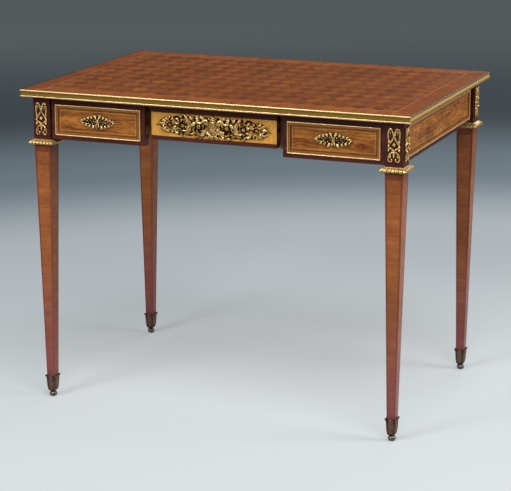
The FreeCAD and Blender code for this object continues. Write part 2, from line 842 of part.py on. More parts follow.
# Glue blocks in the corners under the top, and the screws that hold it
def block_places():
    side_x = rail_inner_x - block_size / 2
    places = [(sx * side_x, sy * block_clear, block_size, block_length) for sx in (1, -1) for sy in (1, -1)]
    back_y = rail_inner_y - block_size / 2
    return places + [(sx * side_front_centre, back_y, block_length, block_size) for sx in (1, -1)]


def screw_places():
    rail_y = (top_rail_front + top_rail_back) / 2
    places = [(sign * x, rail_y, top_rail_bottom) for sign in (1, -1) for x in (screw_inner, screw_outer)]
    return places + [(x, y, under_top - block_size) for x, y, width, depth in block_places()]


def screw_shape(x, y, low, slack):
    radius = screw_diameter / 2 + slack
    head = Part.makeCone(screw_head_diameter / 2 + slack, radius, screw_head_height, vec(x, y, low))
    shank = Part.makeCylinder(radius, under_top + screw_bite - low, vec(x, y, low))
    return head.fuse(shank).removeSplitter()


def build_fixings():
    blocks = []
    for x, y, width, depth in block_places():
        low = under_top - block_size
        cube = block(x - width / 2, x + width / 2, y - depth / 2, y + depth / 2, low, under_top)
        blocks.append(cube.cut(screw_shape(x, y, low, screw_slack)))
    save("top_blocks", blocks)
    save("top_screws", [screw_shape(x, y, low, 0) for x, y, low in screw_places()])


os.makedirs("parts", exist_ok=True)
build_top()
build_legs()
build_rails()
build_partitions()
build_drawers()
build_fixings()
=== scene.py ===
import math
from functools import partial

import bpy
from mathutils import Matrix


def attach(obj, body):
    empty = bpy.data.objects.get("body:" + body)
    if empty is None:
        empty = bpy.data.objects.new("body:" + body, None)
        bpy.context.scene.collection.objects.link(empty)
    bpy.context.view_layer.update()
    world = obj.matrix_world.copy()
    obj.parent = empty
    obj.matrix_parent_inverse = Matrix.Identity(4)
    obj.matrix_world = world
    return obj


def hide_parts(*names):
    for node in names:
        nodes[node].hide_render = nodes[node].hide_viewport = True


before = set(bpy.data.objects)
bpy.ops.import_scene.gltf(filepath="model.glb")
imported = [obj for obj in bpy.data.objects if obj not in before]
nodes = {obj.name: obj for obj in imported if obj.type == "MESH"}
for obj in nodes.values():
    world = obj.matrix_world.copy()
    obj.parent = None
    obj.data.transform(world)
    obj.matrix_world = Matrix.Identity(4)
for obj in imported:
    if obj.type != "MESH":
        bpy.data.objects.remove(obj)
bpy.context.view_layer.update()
mm = 0.001
fullTurn = 2 * math.pi
quarterTurn = math.pi / 2


# Small helpers for working by hand
def clearSelection():
    bpy.ops.object.select_all(action="DESELECT")


def takeOnly(piece):
    clearSelection()
    piece.select_set(True)
    bpy.context.view_layer.objects.active = piece


def openMesh(piece):  # edit mode, with the whole piece selected
    takeOnly(piece)
    bpy.ops.object.mode_set(mode="EDIT")
    bpy.ops.mesh.select_all(action="SELECT")


def shutMesh():
    bpy.ops.object.mode_set(mode="OBJECT")


def turnFacesOut(piece):
    openMesh(piece)
    bpy.ops.mesh.normals_make_consistent(inside=False)
    shutMesh()


def applyModifier(piece, kind, **settings):
    takeOnly(piece)
    modifier = piece.modifiers.new(kind.title(), kind)
    for name, value in settings.items():
        setattr(modifier, name, value)
    bpy.ops.object.modifier_apply(modifier=modifier.name)


def namePiece(piece, name):
    piece.name = name
    piece.data.name = name
    return piece


def joinPieces(name, making):
    pieces = list(making)
    clearSelection()
    for piece in pieces:
        piece.select_set(True)
    bpy.context.view_layer.objects.active = pieces[0]
    bpy.ops.object.join()
    return namePiece(bpy.context.object, name)


def placePiece(piece, place, turn=(0, 0, 0)):
    takeOnly(piece)
    piece.rotation_euler = turn
    piece.location = place
    bpy.ops.object.transform_apply(location=True, rotation=True, scale=True)


def copyPiece(piece, name):
    double = piece.copy()
    double.data = piece.data.copy()
    bpy.context.scene.collection.objects.link(double)
    return namePiece(double, name)


def smoothStep(low, high, value):
    share = min(1.0, max(0.0, (value - low) / (high - low)))
    return share * share * (3 - 2 * share)


def paint(red, green, blue):  # picker values to linear light
    parts = [value / 255 for value in (red, green, blue)]
    return tuple(p / 12.92 if p < 0.04045 else ((p + 0.055) / 1.055) ** 2.4 for p in parts) + (1.0,)


clearSelection()

# Camera at the photograph's viewing angle
shot = {"place": (1.658, -4.213, 1.498), "pitch": 14.27, "yaw": 21.66, "lens": 136.1, "sensor": 36.0}
bpy.ops.object.camera_add(location=shot["place"],
                          rotation=(math.radians(90 - shot["pitch"]), 0, math.radians(shot["yaw"])))
camera = bpy.context.object
camera.data.lens = shot["lens"]
camera.data.sensor_width = shot["sensor"]
bpy.context.scene.camera = camera
bpy.context.scene.view_settings.view_transform = "Standard"
print("camera set")


# Node helpers: a helper finds the tree from the wires that it is given
def feed(node, wires):
    for socket, value in wires.items():
        if isinstance(value, bpy.types.NodeSocket):
            node.id_data.links.new(value, node.inputs[socket])
        else:
            node.inputs[socket].default_value = value


def newNode(owner, kind):  # beside the node or socket that owns it
    return owner.id_data.nodes.new("ShaderNode" + kind)


def addNode(kind, wires, **settings):
    wired = [value for value in wires.values() if isinstance(value, bpy.types.NodeSocket)]
    node = newNode(wired[0], kind)
    for name, value in settings.items():
        setattr(node, name, value)
    feed(node, wires)
    return node.outputs


def calc(operation, *values):
    return addNode("Math", dict(enumerate(values)), operation=operation)[0]


plus = partial(calc, "ADD")
minus = partial(calc, "SUBTRACT")
times = partial(calc, "MULTIPLY")
divide = partial(calc, "DIVIDE")
least = partial(calc, "MINIMUM")
most = partial(calc, "MAXIMUM")
above = partial(calc, "GREATER_THAN")
below = partial(calc, "LESS_THAN")


def between(value, low, high):
    return times(above(value, low), below(value, high))


def gap(value, mark=0.0):  # how far a value is from a mark
    return calc("ABSOLUTE", minus(value, mark))


def squares(first, second):
    return plus(times(first, first), times(second, second))


def ramp(value, low, high, start=0.0, end=1.0, kind="SMOOTHSTEP"):  # a step from low to high
    wires = {"Value": value, "From Min": low, "From Max": high, "To Min": start, "To Max": end}
    return addNode("MapRange", wires, interpolation_type=kind)["Result"]


def softLine(value, mark, full, gone, strength=1.0):  # fades between two distances from the mark
    return ramp(gap(value, mark), full, gone, strength, 0.0)


def mixColour(share, low, high, mode="MIX"):
    return addNode("Mix", {0: share, 6: low, 7: high}, data_type="RGBA", blend_type=mode)[2]


def tintColour(colour, tint, share=1.0):
    return mixColour(share, colour, tint, "MULTIPLY")


def mixVector(share, low, high):
    return addNode("Mix", {0: share, 4: low, 5: high}, data_type="VECTOR")[1]


def packVector(x, y, z):
    return addNode("CombineXYZ", {0: x, 1: y, 2: z})[0]


def splitVector(vector):
    return addNode("SeparateXYZ", {0: vector})[:]


def vectorCalc(operation, first, second):
    return addNode("VectorMath", {0: first, 1: second}, operation=operation)[0]


def coordinates(owner, kind="Object"):
    return newNode(owner, "TexCoord").outputs[kind]


def axes(owner, kind="Object"):
    return splitVector(coordinates(owner, kind))


def noise(vector, scale, detail=3.0, roughness=0.55):
    wires = {"Vector": vector, "Scale": scale, "Detail": detail, "Roughness": roughness}
    return addNode("TexNoise", wires)["Fac"]


def grainNoise(vector, stretch, detail, roughness=0.55):  # drawn out along X
    return noise(vectorCalc("MULTIPLY", vector, stretch), 1.0, detail, roughness)


def startGroup(name, colours, values, results):  # every group reads a vector and gives a colour
    group = bpy.data.node_groups.new(name, "ShaderNodeTree")
    sockets = [("Vector", "INPUT", "Vector")] + [(label, "INPUT", "Color") for label in colours]
    sockets += [(label, "INPUT", "Float") for label in values]
    sockets += [("Colour", "OUTPUT", "Color")] + [(label, "OUTPUT", "Float") for label in results]
    for label, way, kind in sockets:
        group.interface.new_socket(name=label, in_out=way, socket_type="NodeSocket" + kind)
    return group, group.nodes.new("NodeGroupInput").outputs


def endGroup(group, **results):
    feed(group.nodes.new("NodeGroupOutput"), results)
    return group


def useGroup(group, **values):
    return addNode("Group", values, node_tree=group)


def startMaterial(name, roughness=0.28, metallic=0.0, coat=0.04, specular=0.15):
    material = bpy.data.materials.new(name)
    material.use_nodes = True
    surface = material.node_tree.nodes["Principled BSDF"]
    feed(surface, {"Roughness": roughness, "Metallic": metallic, "Coat Weight": coat,
                   "Coat Roughness": 0.16, "Specular IOR Level": specular})
    return material, surface


def addBump(surface, height, strength, distance):
    bump = addNode("Bump", {"Height": height, "Strength": strength, "Distance": distance})
    feed(surface, {"Normal": bump["Normal"]})


# Veneer: streaks and pores along X, soft bands, and the cloudy mottle of a polished figure
figure = {"drift": 17.0, "streaks": (7, 210, 210), "bands": (3, 34, 34), "cloud": (22, 40, 40),
          "fleck": (80, 190, 190), "pores": (90, 1500, 1500), "poreShade": 0.35}


def makeVeneerGroup():
    values = ["Mottle", "Contrast", "Swirl"]
    group, given = startGroup("veneerFigure", ["Pale", "Deep"], values, ["Height"])
    drift = noise(given["Vector"], figure["drift"], 2.0)
    drift = times(minus(drift, 0.5), given["Swirl"])
    vector = vectorCalc("ADD", given["Vector"], packVector(0.0, drift, 0.0))
    streaks = grainNoise(vector, figure["streaks"], 5.0, 0.62)
    bands = grainNoise(vector, figure["bands"], 3.0)
    cloud = grainNoise(vector, figure["cloud"], 2.0)
    fleck = grainNoise(vector, figure["fleck"], 2.0)
    pores = grainNoise(vector, figure["pores"], 1.0)
    share = plus(times(streaks, 0.6), times(bands, 0.4))
    share = times(minus(share, 0.5), given["Contrast"])
    colour = mixColour(ramp(share, -0.2, 0.2), given["Deep"], given["Pale"])
    cloud = plus(times(cloud, 0.6), times(fleck, 0.9))
    lift = times(minus(cloud, 0.75), given["Mottle"])
    colour = tintColour(colour, plus(times(lift, 2.0), 1.0))
    pits = ramp(pores, 0.62, 0.76)
    colour = tintColour(colour, given["Deep"], times(pits, figure["poreShade"]))
    return endGroup(group, Colour=colour, Height=minus(times(streaks, 0.3), pits))


# French polish: handled patches are a little duller, and dirt gathers in cloudy spots
handling = {"patches": 9.0, "smears": 46.0, "patchRough": 0.1, "smearRough": 0.06,
            "dirt": paint(70, 40, 26)}


def makePolishGroup():
    group, given = startGroup("frenchPolish", ["Colour"], ["Gloss", "Dirt"], ["Rough"])
    patches = noise(given["Vector"], handling["patches"], 3.0)
    smears = noise(given["Vector"], handling["smears"], 4.0)
    rough = plus(given["Gloss"], ramp(patches, 0.35, 0.75, 0.0, handling["patchRough"]))
    rough = plus(rough, ramp(smears, 0.5, 0.8, 0.0, handling["smearRough"]))
    share = times(ramp(patches, 0.42, 0.7), given["Dirt"])
    colour = tintColour(given["Colour"], handling["dirt"], share)
    return endGroup(group, Colour=colour, Rough=rough)


# Gilding: pale on the crowns and brown and dull in the hollows, which paints highlight and shade along
# with burnish and patina, with rubbed and tarnished patches
gilding = {"rub": 190.0, "spots": 520.0, "brush": 1900.0, "dull": 0.6, "bright": 0.26}


def makeGildingGroup():
    group, given = startGroup("wornGilding", ["Crown", "Body", "Recess"],
                              ["Relief", "Tarnish", "Wear", "Polish"], ["Rough", "Metal", "Height"])
    rub = noise(given["Vector"], gilding["rub"], 4.0)
    spots = noise(given["Vector"], gilding["spots"], 3.0)
    brush = noise(given["Vector"], gilding["brush"], 2.0)
    worn = times(ramp(rub, 0.3, 0.7, -1.0, 1.0), given["Wear"])
    relief = plus(given["Relief"], worn)
    dull = times(ramp(spots, 0.45, 0.75), given["Tarnish"])
    body = mixColour(dull, given["Body"], given["Recess"])
    # the recess tone paints shade in the hollows and the crown tone paints a highlight on the high relief
    colour = mixColour(ramp(relief, 0.2, 0.5), given["Recess"], body)
    colour = mixColour(ramp(relief, 0.6, 0.95), colour, given["Crown"])
    rough = ramp(relief, 0.25, 0.9, gilding["dull"], gilding["bright"])
    rough = plus(rough, times(dull, 0.25))
    metal = times(ramp(relief, 0.1, 0.5, 0.45, 1.0), given["Polish"])
    height = plus(spots, times(brush, 0.5))
    return endGroup(group, Colour=colour, Rough=rough, Metal=metal, Height=height)


veneerGroup = makeVeneerGroup()
polishGroup = makePolishGroup()
gildingGroup = makeGildingGroup()

woods = {  # pale and deep tones of each veneer
    "tulipwood": (paint(169, 101, 54), paint(138, 78, 41)),
    "edging": (paint(149, 78, 46), paint(118, 56, 35)),
    "panel": (paint(190, 122, 55), paint(112, 60, 25)),
    "satinwood": (paint(232, 173, 81), paint(202, 141, 59)),
    "amaranth": (paint(97, 48, 36), paint(57, 28, 22)),
    "boxwood": (paint(200, 146, 84), paint(174, 120, 62)),
    "oak": (paint(172, 130, 84), paint(132, 92, 54)),
    "lozengeA": (paint(154, 84, 23), paint(115, 59, 15)),
    "lozengeB": (paint(129, 67, 17), paint(94, 46, 12)),
    "banding": (paint(156, 84, 26), paint(117, 58, 18)),
}


def veneer(wood, vector, mottle=0.3, contrast=1.0, swirl=0.0):  # its colour and its grain's height
    pale, deep = woods[wood]
    sheet = useGroup(veneerGroup, Vector=vector, Pale=pale, Deep=deep, Mottle=mottle,
                     Contrast=contrast, Swirl=swirl)
    return sheet["Colour"], sheet["Height"]


def polish(surface, colour, grain, gloss=0.24, dirt=0.2, relief=0.05, depth=0.2 * mm):
    coat = useGroup(polishGroup, Vector=coordinates(surface), Colour=colour, Gloss=gloss, Dirt=dirt)
    feed(surface, {"Base Color": coat["Colour"], "Roughness": coat["Rough"]})
    addBump(surface, grain, relief, depth)


# Top: lozenges in two directions of grain, a stringing line and a mitred, crossbanded border
top = {"halfX": 465 * mm, "halfY": 320 * mm, "band": 40.5 * mm, "string": 2.4 * mm, "stringShare": 0.55,
       "wide": 47.5 * mm, "deep": 55.0 * mm, "shift": (5, 3, 2), "joint": 0.012, "jointShade": 0.55,
       "rimFade": (0.3 * mm, 0.6 * mm), "rimShade": 0.35,
       "dull": paint(236, 234, 232), "fresh": paint(255, 252, 246), "glue": paint(76, 40, 22),
       "rim": paint(60, 30, 20), "sideTint": paint(255, 255, 255), "endTint": paint(230, 224, 210)}


def makeTopVeneer():
    material, surface = startMaterial("topVeneer", coat=0.03, specular=0.1)
    place = coordinates(surface)
    x, y, z = splitVector(place)
    edgeX = minus(top["halfX"], gap(x))
    edgeY = minus(top["halfY"], gap(y))
    inset = least(edgeX, edgeY)
    columns = divide(x, top["wide"])
    rows = divide(y, top["deep"])
    rise = plus(columns, rows)
    fall = minus(columns, rows)
    cellRise = calc("FLOOR", rise)
    cellFall = calc("FLOOR", fall)
    cell = packVector(cellRise, cellFall, 0.0)
    seeds = addNode("TexWhiteNoise", {"Vector": cell}, noise_dimensions="2D")
    turn = calc("FLOORED_MODULO", plus(cellRise, cellFall), 2.0)
    lean = math.atan2(top["deep"], top["wide"])
    angle = times(minus(turn, 0.5), 2 * lean)
    spun = addNode("VectorRotate", {"Vector": place, "Angle": angle}, rotation_type="Z_AXIS")[0]
    along = vectorCalc("ADD", spun, vectorCalc("MULTIPLY", seeds["Color"], top["shift"]))
    first, grain = veneer("lozengeA", along, contrast=1.1)
    second = veneer("lozengeB", along, contrast=1.1)[0]
    field = mixColour(turn, first, second)
    field = tintColour(field, mixColour(seeds["Value"], top["dull"], top["fresh"]))
    joints = least(calc("PINGPONG", rise, 0.5), calc("PINGPONG", fall, 0.5))
    joints = ramp(joints, top["joint"] * 0.5, top["joint"], top["jointShade"], 0.0)
    field = mixColour(joints, field, top["glue"])
    sideways = below(edgeX, edgeY)
    bandGrain = mixVector(sideways, packVector(y, x, z), place)
    band = veneer("banding", bandGrain, 0.25, 1.2)[0]
    band = tintColour(band, mixColour(sideways, top["sideTint"], top["endTint"]))
    inner = top["band"] + top["string"]
    string = mixColour(top["stringShare"], field, woods["boxwood"][0])
    colour = mixColour(above(inset, inner), string, field)
    colour = mixColour(above(inset, top["band"]), band, colour)
    rims = least(gap(inset, top["band"]), gap(inset, inner))
    rims = ramp(rims, *top["rimFade"], top["rimShade"], 0.0)
    colour = mixColour(rims, colour, top["rim"])
    oak = veneer("oak", place, 0.2)[0]
    upward = axes(surface, "Normal")[2]
    colour = mixColour(above(upward, 0.5), oak, colour)
    polish(surface, colour, grain, dirt=0.22)
    return material


# Legs: a die of dark wood, and below it faces crossbanded in tulipwood inside a dark line and border
leg = {"x": 427 * mm, "y": 282 * mm, "dieBottom": 632.5 * mm, "ankle": 52 * mm,
       "topHalf": 20.75 * mm, "ankleHalf": 10 * mm, "panelTop": 604 * mm, "panelBottom": 66 * mm,
       "border": 0.8, "line": 0.05, "lineOver": 0.8 * mm, "topLine": (0.7 * mm, 1.1 * mm),
       "lineShade": 0.45, "lineColour": paint(84, 38, 24),
       "floorReflectionFrom": 420 * mm, "floorReflectionTo": 50 * mm, "floorReflectionShare": 0.6, "red": paint(130, 70, 84)}


def makeLegVeneer():
    material, surface = startMaterial("legVeneer")
    x, y, z = axes(surface)
    localX = minus(gap(x), leg["x"])
    localY = minus(gap(y), leg["y"])
    facing = axes(surface, "Normal")
    endFace = above(gap(facing[0]), gap(facing[1]))
    across = plus(times(localY, endFace), times(localX, minus(1.0, endFace)))
    half = ramp(z, leg["ankle"], leg["dieBottom"], leg["ankleHalf"], leg["topHalf"], "LINEAR")
    share = divide(gap(across), half)
    crosswise = packVector(across, z, times(endFace, 3.0))
    upright = packVector(z, across, times(endFace, 5.0))
    panel, grain = veneer("tulipwood", crosswise, 0.35, 1.1)
    border = veneer("edging", upright, 0.25)[0]
    die = veneer("amaranth", upright)[0]
    narrow = below(share, leg["border"])
    inside = times(narrow, between(z, leg["panelBottom"], leg["panelTop"]))
    colour = mixColour(inside, border, panel)
    rim = softLine(share, leg["border"], leg["line"] * 0.5, leg["line"])
    rim = times(rim, below(z, leg["panelTop"] + leg["lineOver"]))
    topLine = times(softLine(z, leg["panelTop"], *leg["topLine"]), narrow)
    lines = times(most(rim, topLine), leg["lineShade"])
    colour = mixColour(lines, colour, leg["lineColour"])
    # painted reflection of the pale floor: the lower legs are tinted towards pinkish red
    red = ramp(z, leg["floorReflectionTo"], leg["floorReflectionFrom"], leg["floorReflectionShare"], 0.0)
    colour = mixColour(red, colour, leg["red"])
    colour = mixColour(above(z, leg["dieBottom"] - 0.2 * mm), colour, die)
    polish(surface, colour, grain)
    return material


# Framed panels: a dark border outside the brass frame, then a dark line, a pale string and the panel
framing = {"low": 651 * mm, "high": 708.9 * mm, "lineStart": (-0.5 * mm, 0.5 * mm),
           "lineEnd": (3.6 * mm, 4.4 * mm), "lineShade": 0.55, "lineColour": paint(74, 38, 22),
           "string": 5.4 * mm, "stringFade": (0.8 * mm, 1.2 * mm), "stringShare": 0.45}


def framedPanel(along, rise, halfLength, panel, border):
    ends = minus(halfLength, gap(along))
    lower = minus(rise, framing["low"])
    upper = minus(framing["high"], rise)
    inset = least(ends, least(lower, upper))
    colour = mixColour(above(inset, 0.0), border, panel)
    line = times(ramp(inset, *framing["lineStart"]), ramp(inset, *framing["lineEnd"], 1.0, 0.0))
    colour = mixColour(times(line, framing["lineShade"]), colour, framing["lineColour"])
    string = softLine(inset, framing["string"], *framing["stringFade"], framing["stringShare"])
    return mixColour(string, colour, woods["boxwood"][0])


rail = {"sideFace": 438.6 * mm, "sideHalf": 244 * mm, "backFace": 293.6 * mm,
        "backCentre": 286.5 * mm, "backHalf": 102.5 * mm}


def makeRailVeneer():
    material, surface = startMaterial("railVeneer", specular=0.07)
    x, y, z = axes(surface)
    farX = gap(x)
    sideways = packVector(y, z, x)
    lengthways = packVector(x, z, y)
    sidePanel, grain = veneer("panel", sideways, mottle=1.2, swirl=0.02)
    backPanel = veneer("panel", lengthways, mottle=0.85, swirl=0.02)[0]
    sideBorder = veneer("amaranth", sideways)[0]
    backBorder = veneer("amaranth", lengthways)[0]
    oak = veneer("oak", packVector(plus(x, y), z, x), 0.2)[0]
    side = framedPanel(y, z, rail["sideHalf"], sidePanel, sideBorder)
    fromCentre = minus(farX, rail["backCentre"])
    back = framedPanel(fromCentre, z, rail["backHalf"], backPanel, backBorder)
    colour = mixColour(above(farX, rail["sideFace"]), oak, side)
    colour = mixColour(above(y, rail["backFace"]), colour, back)
    polish(surface, colour, grain, gloss=0.26)
    return material


sideDrawer = {"centre": 286.25 * mm, "half": 101.25 * mm, "face": -296.1 * mm, "back": -275.2 * mm,
              "knotX": 352 * mm, "knotZ": 672 * mm, "knotWide": 15 * mm, "knotTall": 8 * mm,
              "knotShare": 0.85, "knot": paint(108, 42, 27)}


def makeSideDrawerVeneer():
    material, surface = startMaterial("sideDrawerVeneer")
    place = coordinates(surface)
    x, y, z = splitVector(place)
    lengthways = packVector(x, z, y)
    panel, grain = veneer("panel", lengthways, mottle=0.85, swirl=0.02)
    border = veneer("amaranth", lengthways)[0]
    oak = veneer("oak", lengthways, 0.2)[0]
    offX = divide(minus(x, sideDrawer["knotX"]), sideDrawer["knotWide"])
    offZ = divide(minus(z, sideDrawer["knotZ"]), sideDrawer["knotTall"])
    ragged = ramp(noise(place, 130.0), 0.3, 0.7, -0.5, 0.5)
    knot = plus(squares(offX, offZ), ragged)
    knot = ramp(knot, 0.1, 1.3, sideDrawer["knotShare"], 0.0)
    panel = mixColour(knot, panel, sideDrawer["knot"])
    along = minus(gap(x), sideDrawer["centre"])
    front = framedPanel(along, z, sideDrawer["half"], panel, border)
    colour = mixColour(below(y, sideDrawer["face"]), border, front)
    colour = mixColour(above(y, sideDrawer["back"]), colour, oak)
    polish(surface, colour, grain, gloss=0.26)
    return material


centreDrawer = {"strip": 660.5 * mm, "shade": 714 * mm, "face": -293.6 * mm, "back": -272.7 * mm,
                "lineFade": (0.5 * mm, 0.9 * mm), "lineShade": 0.6, "line": paint(70, 36, 22)}


def makeCentreDrawerVeneer():
    material, surface = startMaterial("centreDrawerVeneer")
    x, y, z = axes(surface)
    lengthways = packVector(x, z, y)
    panel, grain = veneer("satinwood", packVector(z, x, y), 0.4, 0.9)
    border = veneer("amaranth", lengthways)[0]
    oak = veneer("oak", lengthways, 0.2)[0]
    golden = between(z, centreDrawer["strip"], centreDrawer["shade"])
    golden = times(golden, below(y, centreDrawer["face"]))
    colour = mixColour(golden, border, panel)
    line = softLine(z, centreDrawer["strip"], *centreDrawer["lineFade"], centreDrawer["lineShade"])
    colour = mixColour(line, colour, centreDrawer["line"])
    colour = mixColour(above(y, centreDrawer["back"]), colour, oak)
    polish(surface, colour, grain, gloss=0.26, dirt=0.15)
    return material


# Oak of the hidden work, sawn and oiled by age, with the grain along X or along Y
oakFlecks = {"stretch": (30, 120, 120), "share": 0.25, "tone": paint(206, 166, 116)}


def makeOak(name, lengthwise):
    material, surface = startMaterial(name, 0.6, coat=0.0)
    x, y, z = axes(surface)
    vector = packVector(y, x, z) if lengthwise else packVector(x, y, z)
    board, grain = veneer("oak", vector, contrast=1.3)
    flecks = ramp(grainNoise(vector, oakFlecks["stretch"], 2.0), 0.6, 0.75, 0.0, oakFlecks["share"])
    colour = mixColour(flecks, board, oakFlecks["tone"])
    polish(surface, colour, grain, gloss=0.5, dirt=0.35, relief=0.15, depth=0.3 * mm)
    return material


# Gilt metal: relief comes from the piece's own attribute or from a height that the material works out
metals = {  # crown, body and recess of each metal
    "gilt": (paint(255, 222, 154), paint(186, 134, 60), paint(52, 35, 20)),
    "capital": (paint(222, 188, 124), paint(152, 116, 58), paint(84, 58, 26)),
    "edge": (paint(216, 182, 126), paint(132, 100, 38), paint(60, 42, 18)),
    # painted light at the ends: a darker crown paints shade on the beads, a brighter body paints a
    # reflection on the band
    "edgeEndPaintedLight": (paint(124, 97, 60), paint(234, 188, 106), paint(56, 38, 18)),
    "frame": (paint(230, 194, 138), paint(176, 124, 64), paint(158, 104, 52)),
    "bronze": (paint(136, 104, 88), paint(94, 68, 58), paint(36, 25, 26)),
    "lock": (paint(222, 190, 130), paint(180, 142, 82), paint(92, 66, 32)),
    "steel": (paint(172, 172, 174), paint(140, 140, 142), paint(58, 56, 54)),
    "foot": (paint(124, 116, 108), paint(92, 86, 82), paint(40, 34, 30)),
}


def gild(surface, relief, tones, tarnish, wear=0.16, bump=0.12, shine=0.9):
    crown, body, recess = tones
    skin = useGroup(gildingGroup, Vector=coordinates(surface), Relief=relief, Crown=crown, Body=body,
                    Recess=recess, Tarnish=tarnish, Wear=wear, Polish=shine)
    feed(surface, {"Base Color": skin["Colour"], "Roughness": skin["Rough"], "Metallic": skin["Metal"]})
    addBump(surface, skin["Height"], bump, 0.15 * mm)


def makeMountGilt(name, metal, tarnish, shine, wear=0.16):
    material, surface = startMaterial(name, 0.3, 1.0, 0.15)
    stored = newNode(surface, "Attribute")
    stored.attribute_name = "gild"
    gild(surface, stored.outputs["Fac"], metals[metal], tarnish, wear, shine=shine)
    return material


edge = {"middle": 741.75 * mm, "hollow": 3.9 * mm, "bead": 4.9 * mm, "mitre": 145 * mm,
        "quirk": 4.3 * mm, "quirkFade": (0.5 * mm, 1.0 * mm), "quirkShade": 0.6,
        "flat": 0.97, "flatShade": 0.9}


def makeEdgeBrass():
    material, surface = startMaterial("edgeBrass", 0.3, 1.0, 0.0)
    x, y, z = axes(surface)
    away = gap(z, edge["middle"])
    relief = ramp(away, edge["hollow"], edge["bead"], 0.5, 1.0)
    # a painted shade line along the quirk between bead and band
    quirk = softLine(away, edge["quirk"], *edge["quirkFade"], edge["quirkShade"])
    upward = axes(surface, "Normal")[2]
    flat = above(upward, edge["flat"])  # the upward-facing flat beside the veneer takes the dark, dull recess tone
    relief = minus(minus(relief, quirk), times(flat, edge["flatShade"]))
    beyond = minus(gap(x), gap(y))
    atEnd = above(beyond, edge["mitre"])  # at the ends the band gets a painted reflection and the beads a painted shade
    tones = [mixColour(atEnd, long, end) for long, end in zip(metals["edge"], metals["edgeEndPaintedLight"])]
    gild(surface, relief, tones, 0.2, 0.06, shine=0.5)
    return material


brassFrame = {"front": 296.5 * mm, "side": 439 * mm, "back": 294 * mm, "proud": 3.5 * mm,
              "crest": (0.68, 0.8), "lowRelief": 0.12}


def makeFrameBrass():
    material, surface = startMaterial("frameBrass", 0.3, 1.0, 0.0)
    x, y, z = axes(surface)
    front = minus(times(y, -1.0), brassFrame["front"])
    side = minus(gap(x), brassFrame["side"])
    back = minus(y, brassFrame["back"])
    proud = most(front, most(side, back))
    share = divide(proud, brassFrame["proud"])
    relief = ramp(share, *brassFrame["crest"], brassFrame["lowRelief"], 1.0)
    gild(surface, relief, metals["frame"], 0.2, 0.06, shine=0.5)
    return material


def makeLockMetal(name, metal, tarnish):
    material, surface = startMaterial(name, 0.4, 1.0, 0.0)
    gild(surface, 0.7, metals[metal], tarnish, wear=0.1, bump=0.2)
    return material


mountGilt = makeMountGilt("mountGilt", "gilt", 0.25, 0.85, 0.3)
capitalGilt = makeMountGilt("capitalGilt", "capital", 0.3, 0.65)
sabotBronze = makeMountGilt("sabotBronze", "bronze", 0.1, 0.7)

# Each CAD piece keeps its shape and gets its finish by the end of its name
finishes = [(makeTopVeneer(), "top_board"), (makeEdgeBrass(), "top_edge_moulding"),
            (makeLegVeneer(), "_leg"), (makeLockMetal("footBronze", "foot", 0.1), "_foot"),
            (makeRailVeneer(), "_side_rail", "back_rail"), (makeFrameBrass(), "_frame", "back_frames"),
            (makeSideDrawerVeneer(), "left_drawer_front", "right_drawer_front"),
            (makeCentreDrawerVeneer(), "centre_drawer_front"),
            (makeOak("oakLong", True), "_partition", "_runners", "_sides", "top_blocks"),
            (makeOak("oakWide", False), "front_top_rail", "_drawer_back", "_bottom"),
            (makeLockMetal("lockBrass", "lock", 0.5), "_case"),
            (makeLockMetal("boltSteel", "steel", 0.4), "_bolt", "top_screws")]
print("materials made")
for name, node in nodes.items():
    for material, *endings in finishes:
        if name.endswith(tuple(endings)):
            node.material_slots[0].material = material
print("CAD pieces dressed")


# Castings lie flat with their relief along Z while they are made, in millimetres
def settle(piece, shine):  # flat on its ground, with a gilding share that paints a highlight on the crown and shade at the foot
    mesh = piece.data
    crown = max(vertex.co.z for vertex in mesh.vertices)
    gildAndPaintedLight = mesh.attributes.new("gild", "FLOAT", "POINT")
    for vertex in mesh.vertices:
        vertex.co.z = max(vertex.co.z, 0.0)
        gildAndPaintedLight.data[vertex.index].value = shine * (vertex.co.z / crown) ** 3
    return piece


leafCut = {"grid": (14, 6), "lobeDepth": 0.34, "sweep": 0.22, "crown": 0.5, "groove": 0.24,
           "grooveWidth": 0.16, "ripple": 0.1, "curl": 0.2, "curlFrom": 0.78, "thickness": 1.0 * mm}


def castLeaf(start, bend, tip, width, relief, lobes=3, shine=1.0):
    along, across = leafCut["grid"]
    bpy.ops.mesh.primitive_grid_add(x_subdivisions=along, y_subdivisions=across, size=1)
    piece = bpy.context.object
    points = list(zip(start, bend, tip))
    for vertex in piece.data.vertices:
        share = vertex.co.x + 0.5
        side = vertex.co.y * 2
        flow = 1 - share
        u, v = [flow * flow * a + 2 * share * flow * b + share * share * c for a, b, c in points]
        alongU, alongV = [flow * (b - a) + share * (c - b) for a, b, c in points]
        length = math.hypot(alongU, alongV)
        alongU /= length
        alongV /= length
        body = max(math.sin(math.pi * min(1.0, 0.12 + 0.88 * share ** 0.8)), 0.0) ** 0.75
        notch = (1 - math.cos(fullTurn * lobes * share)) / 2
        reach = width / 2 * body * (1 - leafCut["lobeDepth"] * (1 - notch) * side * side)
        sweep = leafCut["sweep"] * width * abs(side) * body
        u += -alongV * side * reach + alongU * sweep
        v += alongU * side * reach + alongV * sweep
        arch = 0.5 + 0.5 * math.sin(math.pi * (0.12 + 0.76 * share))
        groove = leafCut["groove"] * math.exp(-(side / leafCut["grooveWidth"]) ** 2)
        height = arch * (1 - leafCut["crown"] * side * side) - groove
        height += leafCut["ripple"] * abs(side) * (notch - 0.5)
        height += leafCut["curl"] * smoothStep(leafCut["curlFrom"], 1.0, share)
        vertex.co = (u * mm, v * mm, relief * height * mm)
    applyModifier(piece, "SOLIDIFY", thickness=leafCut["thickness"], offset=-1.0)
    return settle(piece, shine)


